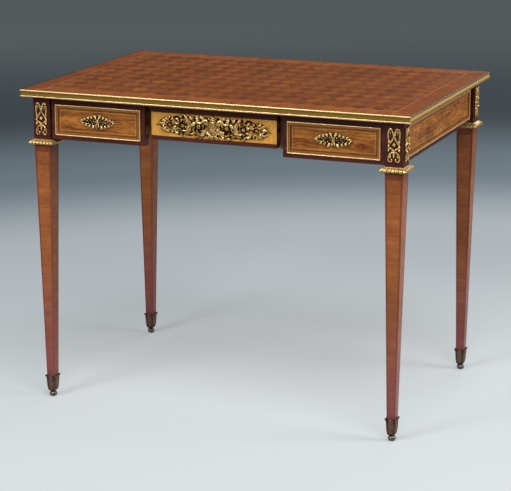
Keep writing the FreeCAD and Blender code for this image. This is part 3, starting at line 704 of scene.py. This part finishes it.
def castLeaves(leaves, relief, lobes, shine=1.0):
    return [castLeaf(*leaf, relief, lobes, shine) for leaf in leaves]


def midPoints(path):  # a path with a point halfway along each stretch
    fuller = [path[0]]
    for (u, v), (nextU, nextV) in zip(path, path[1:]):
        fuller += [((u + nextU) / 2, (v + nextV) / 2), (nextU, nextV)]
    return fuller


def castStem(path, thick, thin, lift, shine=1.0, beat=1.0):
    bpy.ops.curve.primitive_nurbs_path_add()
    piece = bpy.context.object
    curve = piece.data
    curve.dimensions = "3D"
    spline = curve.splines[0]
    spline.points.add(len(path) - len(spline.points))
    last = len(path) - 1
    for number, (u, v) in enumerate(path):
        spline.points[number].co = (u * mm, v * mm, lift * mm, 1)
        swell = beat if number % 2 else 1.0
        spline.points[number].radius = (thick + (thin - thick) * number / last) * swell
    spline.order_u = 3
    spline.use_endpoint_u = True
    curve.bevel_depth = 0.5 * mm
    curve.bevel_resolution = 2
    curve.resolution_u = 4
    curve.use_fill_caps = True
    takeOnly(piece)
    bpy.ops.object.convert(target="MESH")
    return settle(bpy.context.object, shine)


def castBoss(centre, wide, tall, relief, profile, petals=0, shine=1.0, segments=32):
    bpy.ops.mesh.primitive_uv_sphere_add(segments=segments, ring_count=16, radius=1)
    piece = bpy.context.object
    for vertex in piece.data.vertices:
        angle = math.atan2(vertex.co.y, vertex.co.x)
        tilt = math.acos(max(-1.0, min(1.0, vertex.co.z))) / quarterTurn
        share = tilt if tilt <= 1 else 2 - tilt
        lobe = 1.0 if petals == 0 else 0.76 + 0.24 * abs(math.cos(petals * angle / 2))
        height = profile(share, angle) * relief if tilt < 0.999 else 0.0
        vertex.co = ((centre[0] + wide / 2 * share * lobe * math.cos(angle)) * mm,
                     (centre[1] + tall / 2 * share * lobe * math.sin(angle)) * mm, height * mm)
    return settle(piece, shine)


def beadProfile(share, angle):
    return math.sqrt(max(0.0, 1 - share * share * 0.96))


def flowerProfile(petals):
    def profile(share, angle):
        crease = abs(math.cos(petals * angle / 2))
        bowl = 0.42 + 0.5 * math.sin(math.pi * min(1.0, share * 0.92))
        return bowl * (0.72 + 0.28 * crease) * (1 - 0.55 * smoothStep(0.8, 1.0, share))
    return profile


def shieldProfile(share, angle):
    if share < 0.7:
        return 0.84 + 0.05 * (1 - (share / 0.7) ** 2)
    rim = math.cos((share - 0.87) / 0.13 * math.pi / 2)
    return 0.5 + 0.5 * max(0.0, rim)


def castBead(centre, size, relief, shine=1.0, segments=12):
    return castBoss(centre, size, size, relief, beadProfile, 0, shine, segments)


def castFlower(centre, size, relief, petals=6, shine=1.0):
    yield castBoss(centre, size, size, relief * 0.85, flowerProfile(petals), petals, shine, petals * 8)
    yield castBead(centre, size * 0.3, relief, shine, 16)


def castShadePlate(half, rise, count, ripple, beat, thickness):  # a dark ground with a rippled edge: painted shade behind the openwork
    bpy.ops.mesh.primitive_circle_add(vertices=count, radius=1, fill_type="NGON")
    piece = bpy.context.object
    for number, vertex in enumerate(piece.data.vertices):
        angle = fullTurn * number / count
        wave = 1 - ripple + ripple * math.cos(number * beat)
        v = math.copysign(rise(angle), math.sin(angle)) * wave
        vertex.co = (half * math.cos(angle) * mm, v * mm, 0)
    openMesh(piece)
    bpy.ops.mesh.extrude_region_move(TRANSFORM_OT_translate={"value": (0, 0, thickness * mm)})
    shutMesh()
    turnFacesOut(piece)
    return settle(piece, 0.0)


def polar(centre, radius, degrees):
    angle = math.radians(degrees)
    return centre[0] + radius * math.cos(angle), centre[1] + radius * math.sin(angle)


def spiralPath(centre, outer, inner, start, turns, hand, count):
    path = []
    for number in range(count):
        share = number / (count - 1)
        radius = outer + (inner - outer) * share ** 0.85
        path.append(polar(centre, radius, start + hand * 360 * turns * share))
    return path


def mirrorCasting(name, making):
    half = joinPieces(name, making)
    applyModifier(half, "MIRROR", use_mirror_merge=False)
    turnFacesOut(half)
    return half


def finishCasting(piece, metal, body, slot, *standsFor):
    takeOnly(piece)
    bpy.ops.object.shade_smooth()
    piece.data.materials.clear()
    piece.data.materials.append(metal)
    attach(piece, body)
    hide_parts(*standsFor)


# Running scroll on the centre drawer: volutes with flowers, leaves in the spandrels, a plain shield
scroll = {
    "key": (0, -294 * mm, 688 * mm), "relief": 6.4, "stem": 4.6, "thin": 2.0, "halfHeight": 24.5,
    "volutes": [((34.6, 0), 20.6, 1), ((74.2, 0), 17, -1), ((105.3, 0), 12.6, 1)],  # centre, radius, hand
    "outerLeaves": range(22, 352, 33), "innerLeaves": range(30, 378, 58),  # degrees along the turn
    "springs": [(14.5, 1, 1.0), (56.0, -1, 0.86), (92.2, 1, 0.66)],  # place, hand and size
    "longSheaths": [(1, 21, 8.5), (-1, 20, 8)], "shortSheaths": [(1, 15, 7), (-1, 13, 6.5)],
    "fillers": [(21, 23.5, 9), (50, 22.5, -8), (58, 23, 9), (88, 18, -7), (94, 17, 8), (114, 12, 9)],
    "curls": [([(13, 15), (18, 17), (24, 14), (28, 9), (34, 8), (38, 11)], 3.6, 5.4),
              ([(56, 2), (61, -2), (61, -8), (66, -12), (72, -10)], 5.4, 3.4),
              ([(19, -7), (21.5, -11), (20, -15), (23, -19), (27, -20)], 4.4, 3.0),
              ([(88, 15), (83, 12), (82, 6), (87, 3), (91, 6)], 4.0, 3.0),
              ([(84, -6), (90, -8), (92, -13), (88, -17), (83, -16)], 3.0, 4.4)],
    "bridge": [((37, 9), (45, 9), (56, -2), 10.0)],
    "sprigs": [((60, 13), (63, 20), (69, 25), 8.0), ((49, 13), (52, 20), (56, 24.5), 7.5),
               ((37, 9), (35, 17), (41, 24), 10.5), ((113, -3), (119, -8), (113, -13.5), 6.0)],
    "wings": [((12, -5), (22, -8), (33, -22), 8.5), ((12, 15), (24, 24), (40, 21), 8.5)],
    "tail": [((112, 0), (126, 5), (139.5, -2), 8.5), ((110, 4), (120, 13), (132, 8), 7.0),
             ((110, -4), (120, -13), (131, -9), 7.0), ((106, 8), (112, 16), (121, 15), 6.0),
             ((106, -8), (112, -17), (121, -15), 6.0)],
    "shield": (25, 38), "beads": 22, "plateHalf": 133, "plateRise": 23.0}


def holdHeight(v):  # keeps a leaf's tip within the mount's height
    return max(-scroll["halfHeight"], min(scroll["halfHeight"], v))


def castVolute(centre, radius, hand, relief):
    start = 180
    path = spiralPath(centre, radius - 1.2, radius * 0.5, start, 1.25, hand, int(2.3 * radius))
    yield castStem(path, scroll["stem"], scroll["thin"], lift=2.6, shine=0.95, beat=0.55)
    yield from castFlower(centre, radius * 0.6, relief)
    for number, turn in enumerate(scroll["outerLeaves"]):  # leaflets outside the turn, swept forward
        angle = start + hand * turn
        base = polar(centre, radius - 1.5, angle)
        bend = polar(centre, radius + 3.2, angle + hand * 6)
        reach = radius + 6.5 + (1.5 if number % 2 else 0)
        tipU, tipV = polar(centre, reach, angle + hand * 24)
        yield castLeaf(base, bend, (tipU, holdHeight(tipV)), 6.6, relief * 0.85, 2, 0.85)
    for turn in scroll["innerLeaves"]:  # leaflets inside the turn
        angle = start + hand * turn
        base = polar(centre, radius - 2.0, angle)
        bend = polar(centre, radius * 0.74, angle + hand * 12)
        tip = polar(centre, radius * 0.42, angle + hand * 40)
        yield castLeaf(base, bend, tip, radius * 0.3, relief * 0.8, 2, 0.75)


def castSheath(u, hand, size, relief, tipRun, tipRise, bendRun, leaves):  # leaves where a stem springs
    for lean, length, wide in leaves:
        rise = lean * hand * length * size
        tip = (u + length * size * tipRun, holdHeight(rise * tipRise))
        bend = (u + bendRun, rise * 0.62)
        yield castLeaf((u - 1, 0), bend, tip, wide * size, relief * 0.9, 4, 0.85)


def castScrollHalf(relief):
    for volute in scroll["volutes"]:
        yield from castVolute(*volute, relief)
    for spring in scroll["springs"]:
        yield from castSheath(*spring, relief, 0.75, 0.98, 1.5, scroll["longSheaths"])
        yield from castSheath(*spring, relief, -0.1, 1.25, -3.0, scroll["shortSheaths"])
    for lean in (1, -1):  # fillers along the two long edges
        for u, reach, turn in scroll["fillers"]:
            rise = lean * reach
            bend = (u + turn * 0.1, rise * 0.8)
            yield castLeaf((u, rise * 0.45), bend, (u + turn, rise), 6.0, relief * 0.62, 3, 0.85)
            yield castBead((u + turn * 0.45, rise * 0.62), 3.0, relief * 0.8)
    for path, thick, thin in scroll["curls"]:  # bright curls across the turns
        yield castStem(path, thick, thin, lift=4.2, shine=1.45, beat=0.85)
    yield from castLeaves(scroll["bridge"], relief * 1.15, 1, 1.5)
    yield from castLeaves(scroll["sprigs"], relief * 1.1, 3, 1.35)
    yield from castLeaves(scroll["wings"], relief * 1.05, 4)
    yield from castLeaves(scroll["tail"], relief * 0.85, 4)


def scrollEdge(angle):  # half height of the ground plate, lower towards the ends
    taper = smoothStep(84, scroll["plateHalf"], abs(scroll["plateHalf"] * math.cos(angle)))
    return scroll["plateRise"] * (1 - taper * 0.72) * min(1.0, abs(math.sin(angle)) * 3.0)


def castScroll(relief):
    yield mirrorCasting("scrollHalf", castScrollHalf(relief))
    yield castBoss((0, 1), *scroll["shield"], relief, shieldProfile, segments=48)
    yield castShadePlate(scroll["plateHalf"], scrollEdge, 132, 0.06, 1.4, 0.7)
    for lean in (1, -1):
        yield castLeaf((lean, -21), (lean * 8, -19), (lean * 13, -10.5), 6.5, relief * 1.1, 2, 1.5)
        yield castLeaf((lean * 3, -18), (lean * 9, -20), (lean * 15, -24.5), 6, relief * 0.9, 2, 1.2)
        yield castLeaf((lean, 17), (lean * 8, 19), (lean * 11, 25), 6.5, relief, 3)
    for lean in (1, -1):
        yield castLeaf((0, lean * 15), (0, lean * 20), (0, lean * 25.5), 7.5, relief * 1.05, 3)
    for number in range(scroll["beads"]):  # beads round the shield
        angle = fullTurn * number / scroll["beads"]
        place = (8.6 * math.cos(angle), 1 + 13.2 * math.sin(angle))
        yield castBead(place, 1.7, relief * 0.95, segments=10)


scrollMount = joinPieces("centreDrawerScroll", castScroll(scroll["relief"]))
placePiece(scrollMount, scroll["key"], (quarterTurn, 0, 0))
finishCasting(scrollMount, mountGilt, "centre_drawer", "gilt_mount", "centre_drawer_mount")
print("centre mount cast", len(scrollMount.data.polygons))


# Lozenge spray on the side drawers: a plate at the keyhole and leafy sprigs to both ends
spray = {
    "key": (286.25 * mm, -296.5 * mm, 681 * mm), "relief": 4.8, "plateHalf": 43.5, "plateRise": 16.2,
    "stem": [(4, 0), (13, 0.8), (22, -0.6), (31, 0.5), (40, 0)],
    "buds": [
        (6.5, 16.8, 7.2, 1.7), (15.5, 14, 7, 1.4), (24, 11.2, 7.2, 1.7), (32, 8.2, 6.6, 1.5),
        (38.5, 5, 5.6, 1.7), (11, -15, 7.2, 1.6), (20.5, -12, 6.4, 1.2), (29, -9, 7, 1.7),
        (37, -5.4, 5.8, 1.3)],
    "end": [((37, 0), (41, 1), (45.5, 0), 4.6)], "crossing": (13, -13.5)}


def castSprayHalf(relief):
    yield castStem(spray["stem"], 2.4, 1.6, lift=0.6, shine=0.5)
    for u, v, size, shine in spray["buds"]:  # buds lean outwards, on the lower side between those above
        bend = (u - 1.6, v * 0.8)
        yield castLeaf((u - 3, v * 0.4), bend, (u + 3.2, v), size, relief, 1, shine)
        yield castBead((u + 1.8, v * 0.3), 3.8, relief * 0.75, 1.15)
    yield from castLeaves(spray["end"], relief * 0.9, 1, 1.4)
    for v in spray["crossing"]:  # leaves that cross behind the keyhole
        yield castLeaf((1.5, v * 0.3), (4.6, v * 0.6), (3.4, v), 4.6, relief, 2, 1.2)


def sprayEdge(angle):
    return spray["plateRise"] * (1 - abs(math.cos(angle)) ** 1.35)


def castSpray(relief):
    yield mirrorCasting("sprayHalf", castSprayHalf(relief))
    yield castBoss((0, 0), 8.0, 10.5, relief * 0.9, shieldProfile, 0, 1.15, 24)
    yield castBoss((0, -0.6), 2.4, 5.4, relief, beadProfile, 0, 0.0, 12)  # a raised boss painted dark: painted shade of the keyhole's opening
    yield castShadePlate(spray["plateHalf"], sprayEdge, 64, 0.07, 1.7, 0.6)
    yield castLeaf((0, -6), (0, -11), (0, -16.5), 4.6, relief, 2, 0.8)


leftSpray = joinPieces("leftDrawerSpray", castSpray(spray["relief"]))
rightSpray = copyPiece(leftSpray, "rightDrawerSpray")
keyX, keyY, keyZ = spray["key"]
for piece, sign, side in ((leftSpray, -1, "left"), (rightSpray, 1, "right")):
    placePiece(piece, (sign * keyX, keyY, keyZ), (quarterTurn, 0, 0))
    finishCasting(piece, mountGilt, side + "_drawer", "gilt_mount", side + "_drawer_mount")
print("drawer sprays cast", len(leftSpray.data.polygons))

# Corner mounts: two ribbons that arch at the top, plait round a boss and curl at the foot
corner = {
    "relief": 4.2, "band": 5.4, "thin": 4.8, "z": 680.8 * mm, "faceX": 448 * mm, "faceY": 303 * mm,
    "ribbon": [
        (12.4, 14.5), (13.2, 21), (13, 29), (11.4, 34.6), (8.2, 36.4), (5, 34.6), (3.4, 30), (2.4, 24.5),
        (-0.6, 18.5), (-4, 12.5), (-8, 6), (-12, 1), (-12.4, -3.6), (-8.6, -6.6), (-4, -9.2), (0.4, -12.4),
        (5, -15.8), (9.4, -19.6), (12, -25), (12.8, -31), (11, -35.6), (7.6, -36.4), (4.4, -34.4),
        (4.2, -30.4)],
    "beads": [(11.2, 8, 5), (12, -1.4, 5), (11.6, -11, 4.8), (4.3, -31, 4.4), (3.4, 28.5, 4.4)],
    "leaves": [
        ((12.4, 15), (12.6, 11), (8.8, 9.4), 4.2), ((11, -7), (14, -10), (11.4, -15), 4.2),
        ((8.4, 32), (9, 27), (7.8, 21.5), 3.6), ((7.8, -22), (8.6, -26), (7.6, -31), 3.6),
        ((9, 4), (12.6, 5), (13.6, 11.5), 4.4), ((6, -6), (10, -5), (13.4, -8.5), 4)]}


def castCornerHalf(relief):
    path = midPoints(corner["ribbon"])
    yield castStem(path, corner["band"], corner["thin"], lift=1.1, shine=1.35, beat=0.8)
    for u, v, size in corner["beads"]:
        yield castBead((u, v), size, relief, 1.5, 14)
    yield from castLeaves(corner["leaves"], relief * 0.85, 2)


def castCorner(relief):
    yield mirrorCasting("cornerHalf", castCornerHalf(relief))
    yield from castFlower((0, 1.5), 8.6, relief * 1.1, 4, 1.5)
    yield castLeaf((0, 20), (0, 26), (0, 32.5), 4.2, relief, 2, 1.2)
    yield castLeaf((0, -12.5), (0, -19), (0, -28.5), 6.4, relief, 2, 1.5)


cornerPattern = joinPieces("cornerPattern", castCorner(corner["relief"]))
turns = {"front": 0, "right": quarterTurn, "back": math.pi, "left": -quarterTurn}
legs = [(level, hand, signX * leg["x"], signY * leg["y"], signX, signY)
        for level, signY in (("front", -1), ("back", 1)) for hand, signX in (("left", -1), ("right", 1))]
for level, hand, legX, legY, signX, signY in legs:
    faced = copyPiece(cornerPattern, "faced")
    placePiece(faced, (legX, signY * corner["faceY"], corner["z"]), (quarterTurn, 0, turns[level]))
    ended = copyPiece(cornerPattern, "ended")
    placePiece(ended, (signX * corner["faceX"], legY, corner["z"]), (quarterTurn, 0, turns[hand]))
    pair = joinPieces(level + hand.title() + "CornerMounts", [faced, ended])
    finishCasting(pair, mountGilt, "table", "gilt_mount", level + "_" + hand + "_corner_mounts")
bpy.data.objects.remove(cornerPattern)
print("corner mounts cast")


# Square castings are drawn up loop by loop from a ring of points, closed inside and then chased
def drawSquare(name, loops, perSide):
    half, z = loops[0]
    bpy.ops.mesh.primitive_circle_add(vertices=4 * perSide, radius=1, fill_type="NOTHING")
    piece = bpy.context.object
    piece.name = name
    for number, vertex in enumerate(piece.data.vertices):
        side, step = divmod(number, perSide)
        run = 2 * step / perSide - 1
        u, v = ((run, -1), (1, run), (-run, 1), (-1, -run))[side]
        vertex.co = (u * half * mm, v * half * mm, z * mm)
    openMesh(piece)
    for nextHalf, nextZ in loops[1:]:
        bpy.ops.mesh.extrude_edges_move(TRANSFORM_OT_translate={"value": (0, 0, (nextZ - z) * mm)})
        scale = nextHalf / half
        bpy.ops.transform.resize(value=(scale, scale, 1), center_override=(0, 0, nextZ * mm))
        half, z = nextHalf, nextZ
    shutMesh()
    return piece


def closeRing(piece):  # bridges the last loop to the first
    openMesh(piece)
    bpy.ops.mesh.select_non_manifold(extend=False, use_wire=False, use_multi_face=False,
                                     use_non_contiguous=False, use_verts=False)
    bpy.ops.mesh.bridge_edge_loops()
    shutMesh()
    turnFacesOut(piece)


def castSquare(name, shape, chase):  # chase gives a point's push, lift and gilding share, the share painting highlight and shade on the chased relief
    piece = drawSquare(name, shape["loops"], shape["perSide"])
    gildAndPaintedLight = piece.data.attributes.new("gild", "FLOAT", "POINT")
    for vertex in piece.data.vertices:
        x, y, z = [value / mm for value in vertex.co]
        half = max(abs(x), abs(y))
        along = (y if abs(x) > abs(y) else x) / half
        push, lift, shine = chase(half, along, z)
        scale = (half + push) / half
        vertex.co = (x * scale * mm, y * scale * mm, (z + lift) * mm)
        gildAndPaintedLight.data[vertex.index].value = shine
    closeRing(piece)
    return piece


capital = {
    "perSide": 84, "leaves": 7, "lip": 624.6, "ribWidth": 0.1,
    "loops": [
        (20.9, 616.5), (22, 616.5), (22, 618.6), (24.6, 619), (27.4, 620), (29.8, 621.4), (31.2, 622.6),
        (31.8, 623.4), (32, 624.2), (32, 625), (31.7, 625.9), (31.2, 626.8), (30.4, 627.7), (29.4, 628.5),
        (28.2, 629.2), (26.9, 629.9), (25.5, 630.4), (24.2, 630.9), (23, 631.3), (22.2, 631.7),
        (22.2, 632.5), (20.9, 632.5)]}


def chaseCapital(half, along, z):
    run = along * capital["leaves"] / 2
    tongue = abs(math.cos(math.pi * run))
    rib = math.exp(-((run - round(run)) / capital["ribWidth"]) ** 2)
    slope = smoothStep(22.6, 24.4, half)
    overLip = smoothStep(capital["lip"], capital["lip"] + 0.8, z)
    upper = slope * overLip
    lower = slope * smoothStep(24.0, 30.0, half) * (1 - overLip)
    push = upper * (0.8 * tongue ** 0.7 - 0.9) + lower * (0.8 * tongue - 0.9)
    lift = upper * (0.6 * tongue ** 0.7 - 0.5 - 0.5 * rib) + lower * 0.5 * (tongue - 1)
    # the gilding share paints shade: none on the neck, darker towards the bottom and in the creases
    # between the tongues
    base = 0.2 + 0.8 * smoothStep(616.6, 623.5, z) if half > 21.5 else 0.0
    crease = max(upper, lower) * (0.9 * (1 - tongue ** 0.6) + 0.4 * rib)
    return push, lift, base * (1 - min(1.0, crease))


sabot = {
    "perSide": 28, "low": 13.0, "high": 55.4, "leafHalf": 0.72, "veins": 7, "slant": 2.2, "ribWidth": 0.1,
    "drop": 1.1,
    "loops": [
        (3.2, 13), (4, 13), (5.8, 13.7), (7.3, 15.2), (8.5, 17.4), (9.2, 20.2), (9.7, 23.4), (10.1, 26.8),
        (10.4, 30.4), (10.6, 34), (10.8, 38), (11, 42), (11.2, 45.5), (11.5, 47.8), (12, 49.6),
        (12.7, 51.2), (13.4, 52.8), (13.8, 54.2), (13.6, 55.2), (12.6, 55.4), (11.4, 54.2), (10.4, 52),
        (10.1, 48)]}


def chaseSabot(half, along, z):
    side = abs(along)
    rise = (z - sabot["low"]) / (sabot["high"] - sabot["low"])
    outside = smoothStep(0.06, 0.16, rise) * (1 - smoothStep(0.97, 1.0, rise)) * (1 if half > 7.4 else 0)
    leafHalf = sabot["leafHalf"] * math.sin(math.pi * min(1.0, 0.1 + 0.85 * rise)) ** 0.6
    onLeaf = smoothStep(leafHalf + 0.08, leafHalf - 0.08, side)
    veins = 0.5 + 0.5 * math.cos(fullTurn * (rise * sabot["veins"] - side * sabot["slant"]))
    rib = math.exp(-(side / sabot["ribWidth"]) ** 2)
    cornerLeaf = smoothStep(0.8, 1.0, side)
    push = outside * (1.1 * onLeaf * (0.5 + 0.5 * veins) + 0.5 * rib + 0.8 * cornerLeaf - 0.7)
    drop = sabot["drop"] * smoothStep(0.86, 1.0, rise) * (1 - max(onLeaf * 0.9, cornerLeaf))
    # the gilding share paints highlight on the leaves, veins, rib and corner leaves and shade between them
    return push, -drop, 0.25 + 0.75 * outside * max(onLeaf * veins, rib, cornerLeaf)


capitalPattern = castSquare("capitalPattern", capital, chaseCapital)
sabotPattern = castSquare("sabotPattern", sabot, chaseSabot)
for level, hand, legX, legY, signX, signY in legs:
    for pattern, ending, slot, metal in ((capitalPattern, "Capital", "gilt_capital", capitalGilt),
                                         (sabotPattern, "Sabot", "dark_bronze", sabotBronze)):
        piece = copyPiece(pattern, level + hand.title() + ending)
        placePiece(piece, (legX, legY, 0))
        finishCasting(piece, metal, "table", slot, level + "_" + hand + "_" + ending.lower())
        bpy.ops.object.shade_smooth_by_angle(angle=math.radians(40))
bpy.data.objects.remove(capitalPattern)
bpy.data.objects.remove(sabotPattern)
print("capitals and sabots cast")

# Pale floor that darkens with distance, and soft light
studio = {"floorSize": 26.0, "glow": 0.44, "share": 0.55, "middle": (0.8, -0.9),
          "tones": [(1.4, paint(204, 209, 211)), (2.7, paint(176, 184, 189)), (3.7, paint(116, 129, 137)),
                    (4.9, paint(75, 83, 87)), (7.5, paint(110, 119, 122))]}
clearSelection()
bpy.ops.mesh.primitive_circle_add(vertices=96, radius=studio["floorSize"], fill_type="NGON")
floor = bpy.context.object
floor.name = "studioFloor"
floorMaterial, surface = startMaterial("studioFloor", 0.7, coat=0.0, specular=0.0)
x, y, z = axes(surface)
awayX = minus(x, studio["middle"][0])
awayY = minus(y, studio["middle"][1])
distance = calc("SQRT", squares(awayX, awayY))
near, colour = studio["tones"][0]
for far, tone in studio["tones"][1:]:
    colour = mixColour(ramp(distance, near, far), colour, tone)
    near = far
lit = tintColour(colour, [studio["share"]] * 3 + [1.0])
rays = newNode(surface, "LightPath")  # the glow is seen, but doesn't light the wood from below
seen = most(rays.outputs["Is Camera Ray"], rays.outputs["Is Glossy Ray"])
glow = times(seen, studio["glow"])
feed(surface, {"Base Color": lit, "Emission Color": colour, "Emission Strength": glow})
floor.data.materials.append(floorMaterial)

lamps = {  # place, size and power
    "key": ((-1.5, -3.6, 2.9), 1.8, 112), "right": ((3.8, 0.35, 2.5), 2.0, 108),
    "over": ((1.2, -2.1, 4.5), 2.7, 162), "rear": ((0.6, 3.8, 2.9), 2.4, 42)}
aimHeight = 0.5
for name, (place, size, power) in lamps.items():
    bpy.ops.object.light_add(type="AREA", location=place)
    lamp = bpy.context.object
    lamp.name = name + "Lamp"
    lamp.data.shape = "DISK"
    lamp.data.size = size
    lamp.data.energy = power
    lamp.visible_camera = False
    aim = lamp.location.copy()
    aim.z -= aimHeight
    lamp.rotation_euler = aim.to_track_quat("Z", "Y").to_euler()

sky = {"fill": 0.1, "ceiling": 0.8, "ceilingRise": (0.5, 0.75), "colour": (0.95, 0.97, 1.0, 1.0)}
world = bpy.data.worlds.new("studioWorld")
bpy.context.scene.world = world
world.use_nodes = True
backLight = world.node_tree.nodes["Background"]
rise = axes(backLight, "Generated")[2]
rays = newNode(backLight, "LightPath")  # metal also shows the pale ceiling of the studio
ceiling = ramp(rise, *sky["ceilingRise"], 0.0, sky["ceiling"])
ceiling = times(rays.outputs["Is Glossy Ray"], ceiling)
feed(backLight, {"Color": sky["colour"], "Strength": plus(ceiling, sky["fill"])})
print("studio lit")
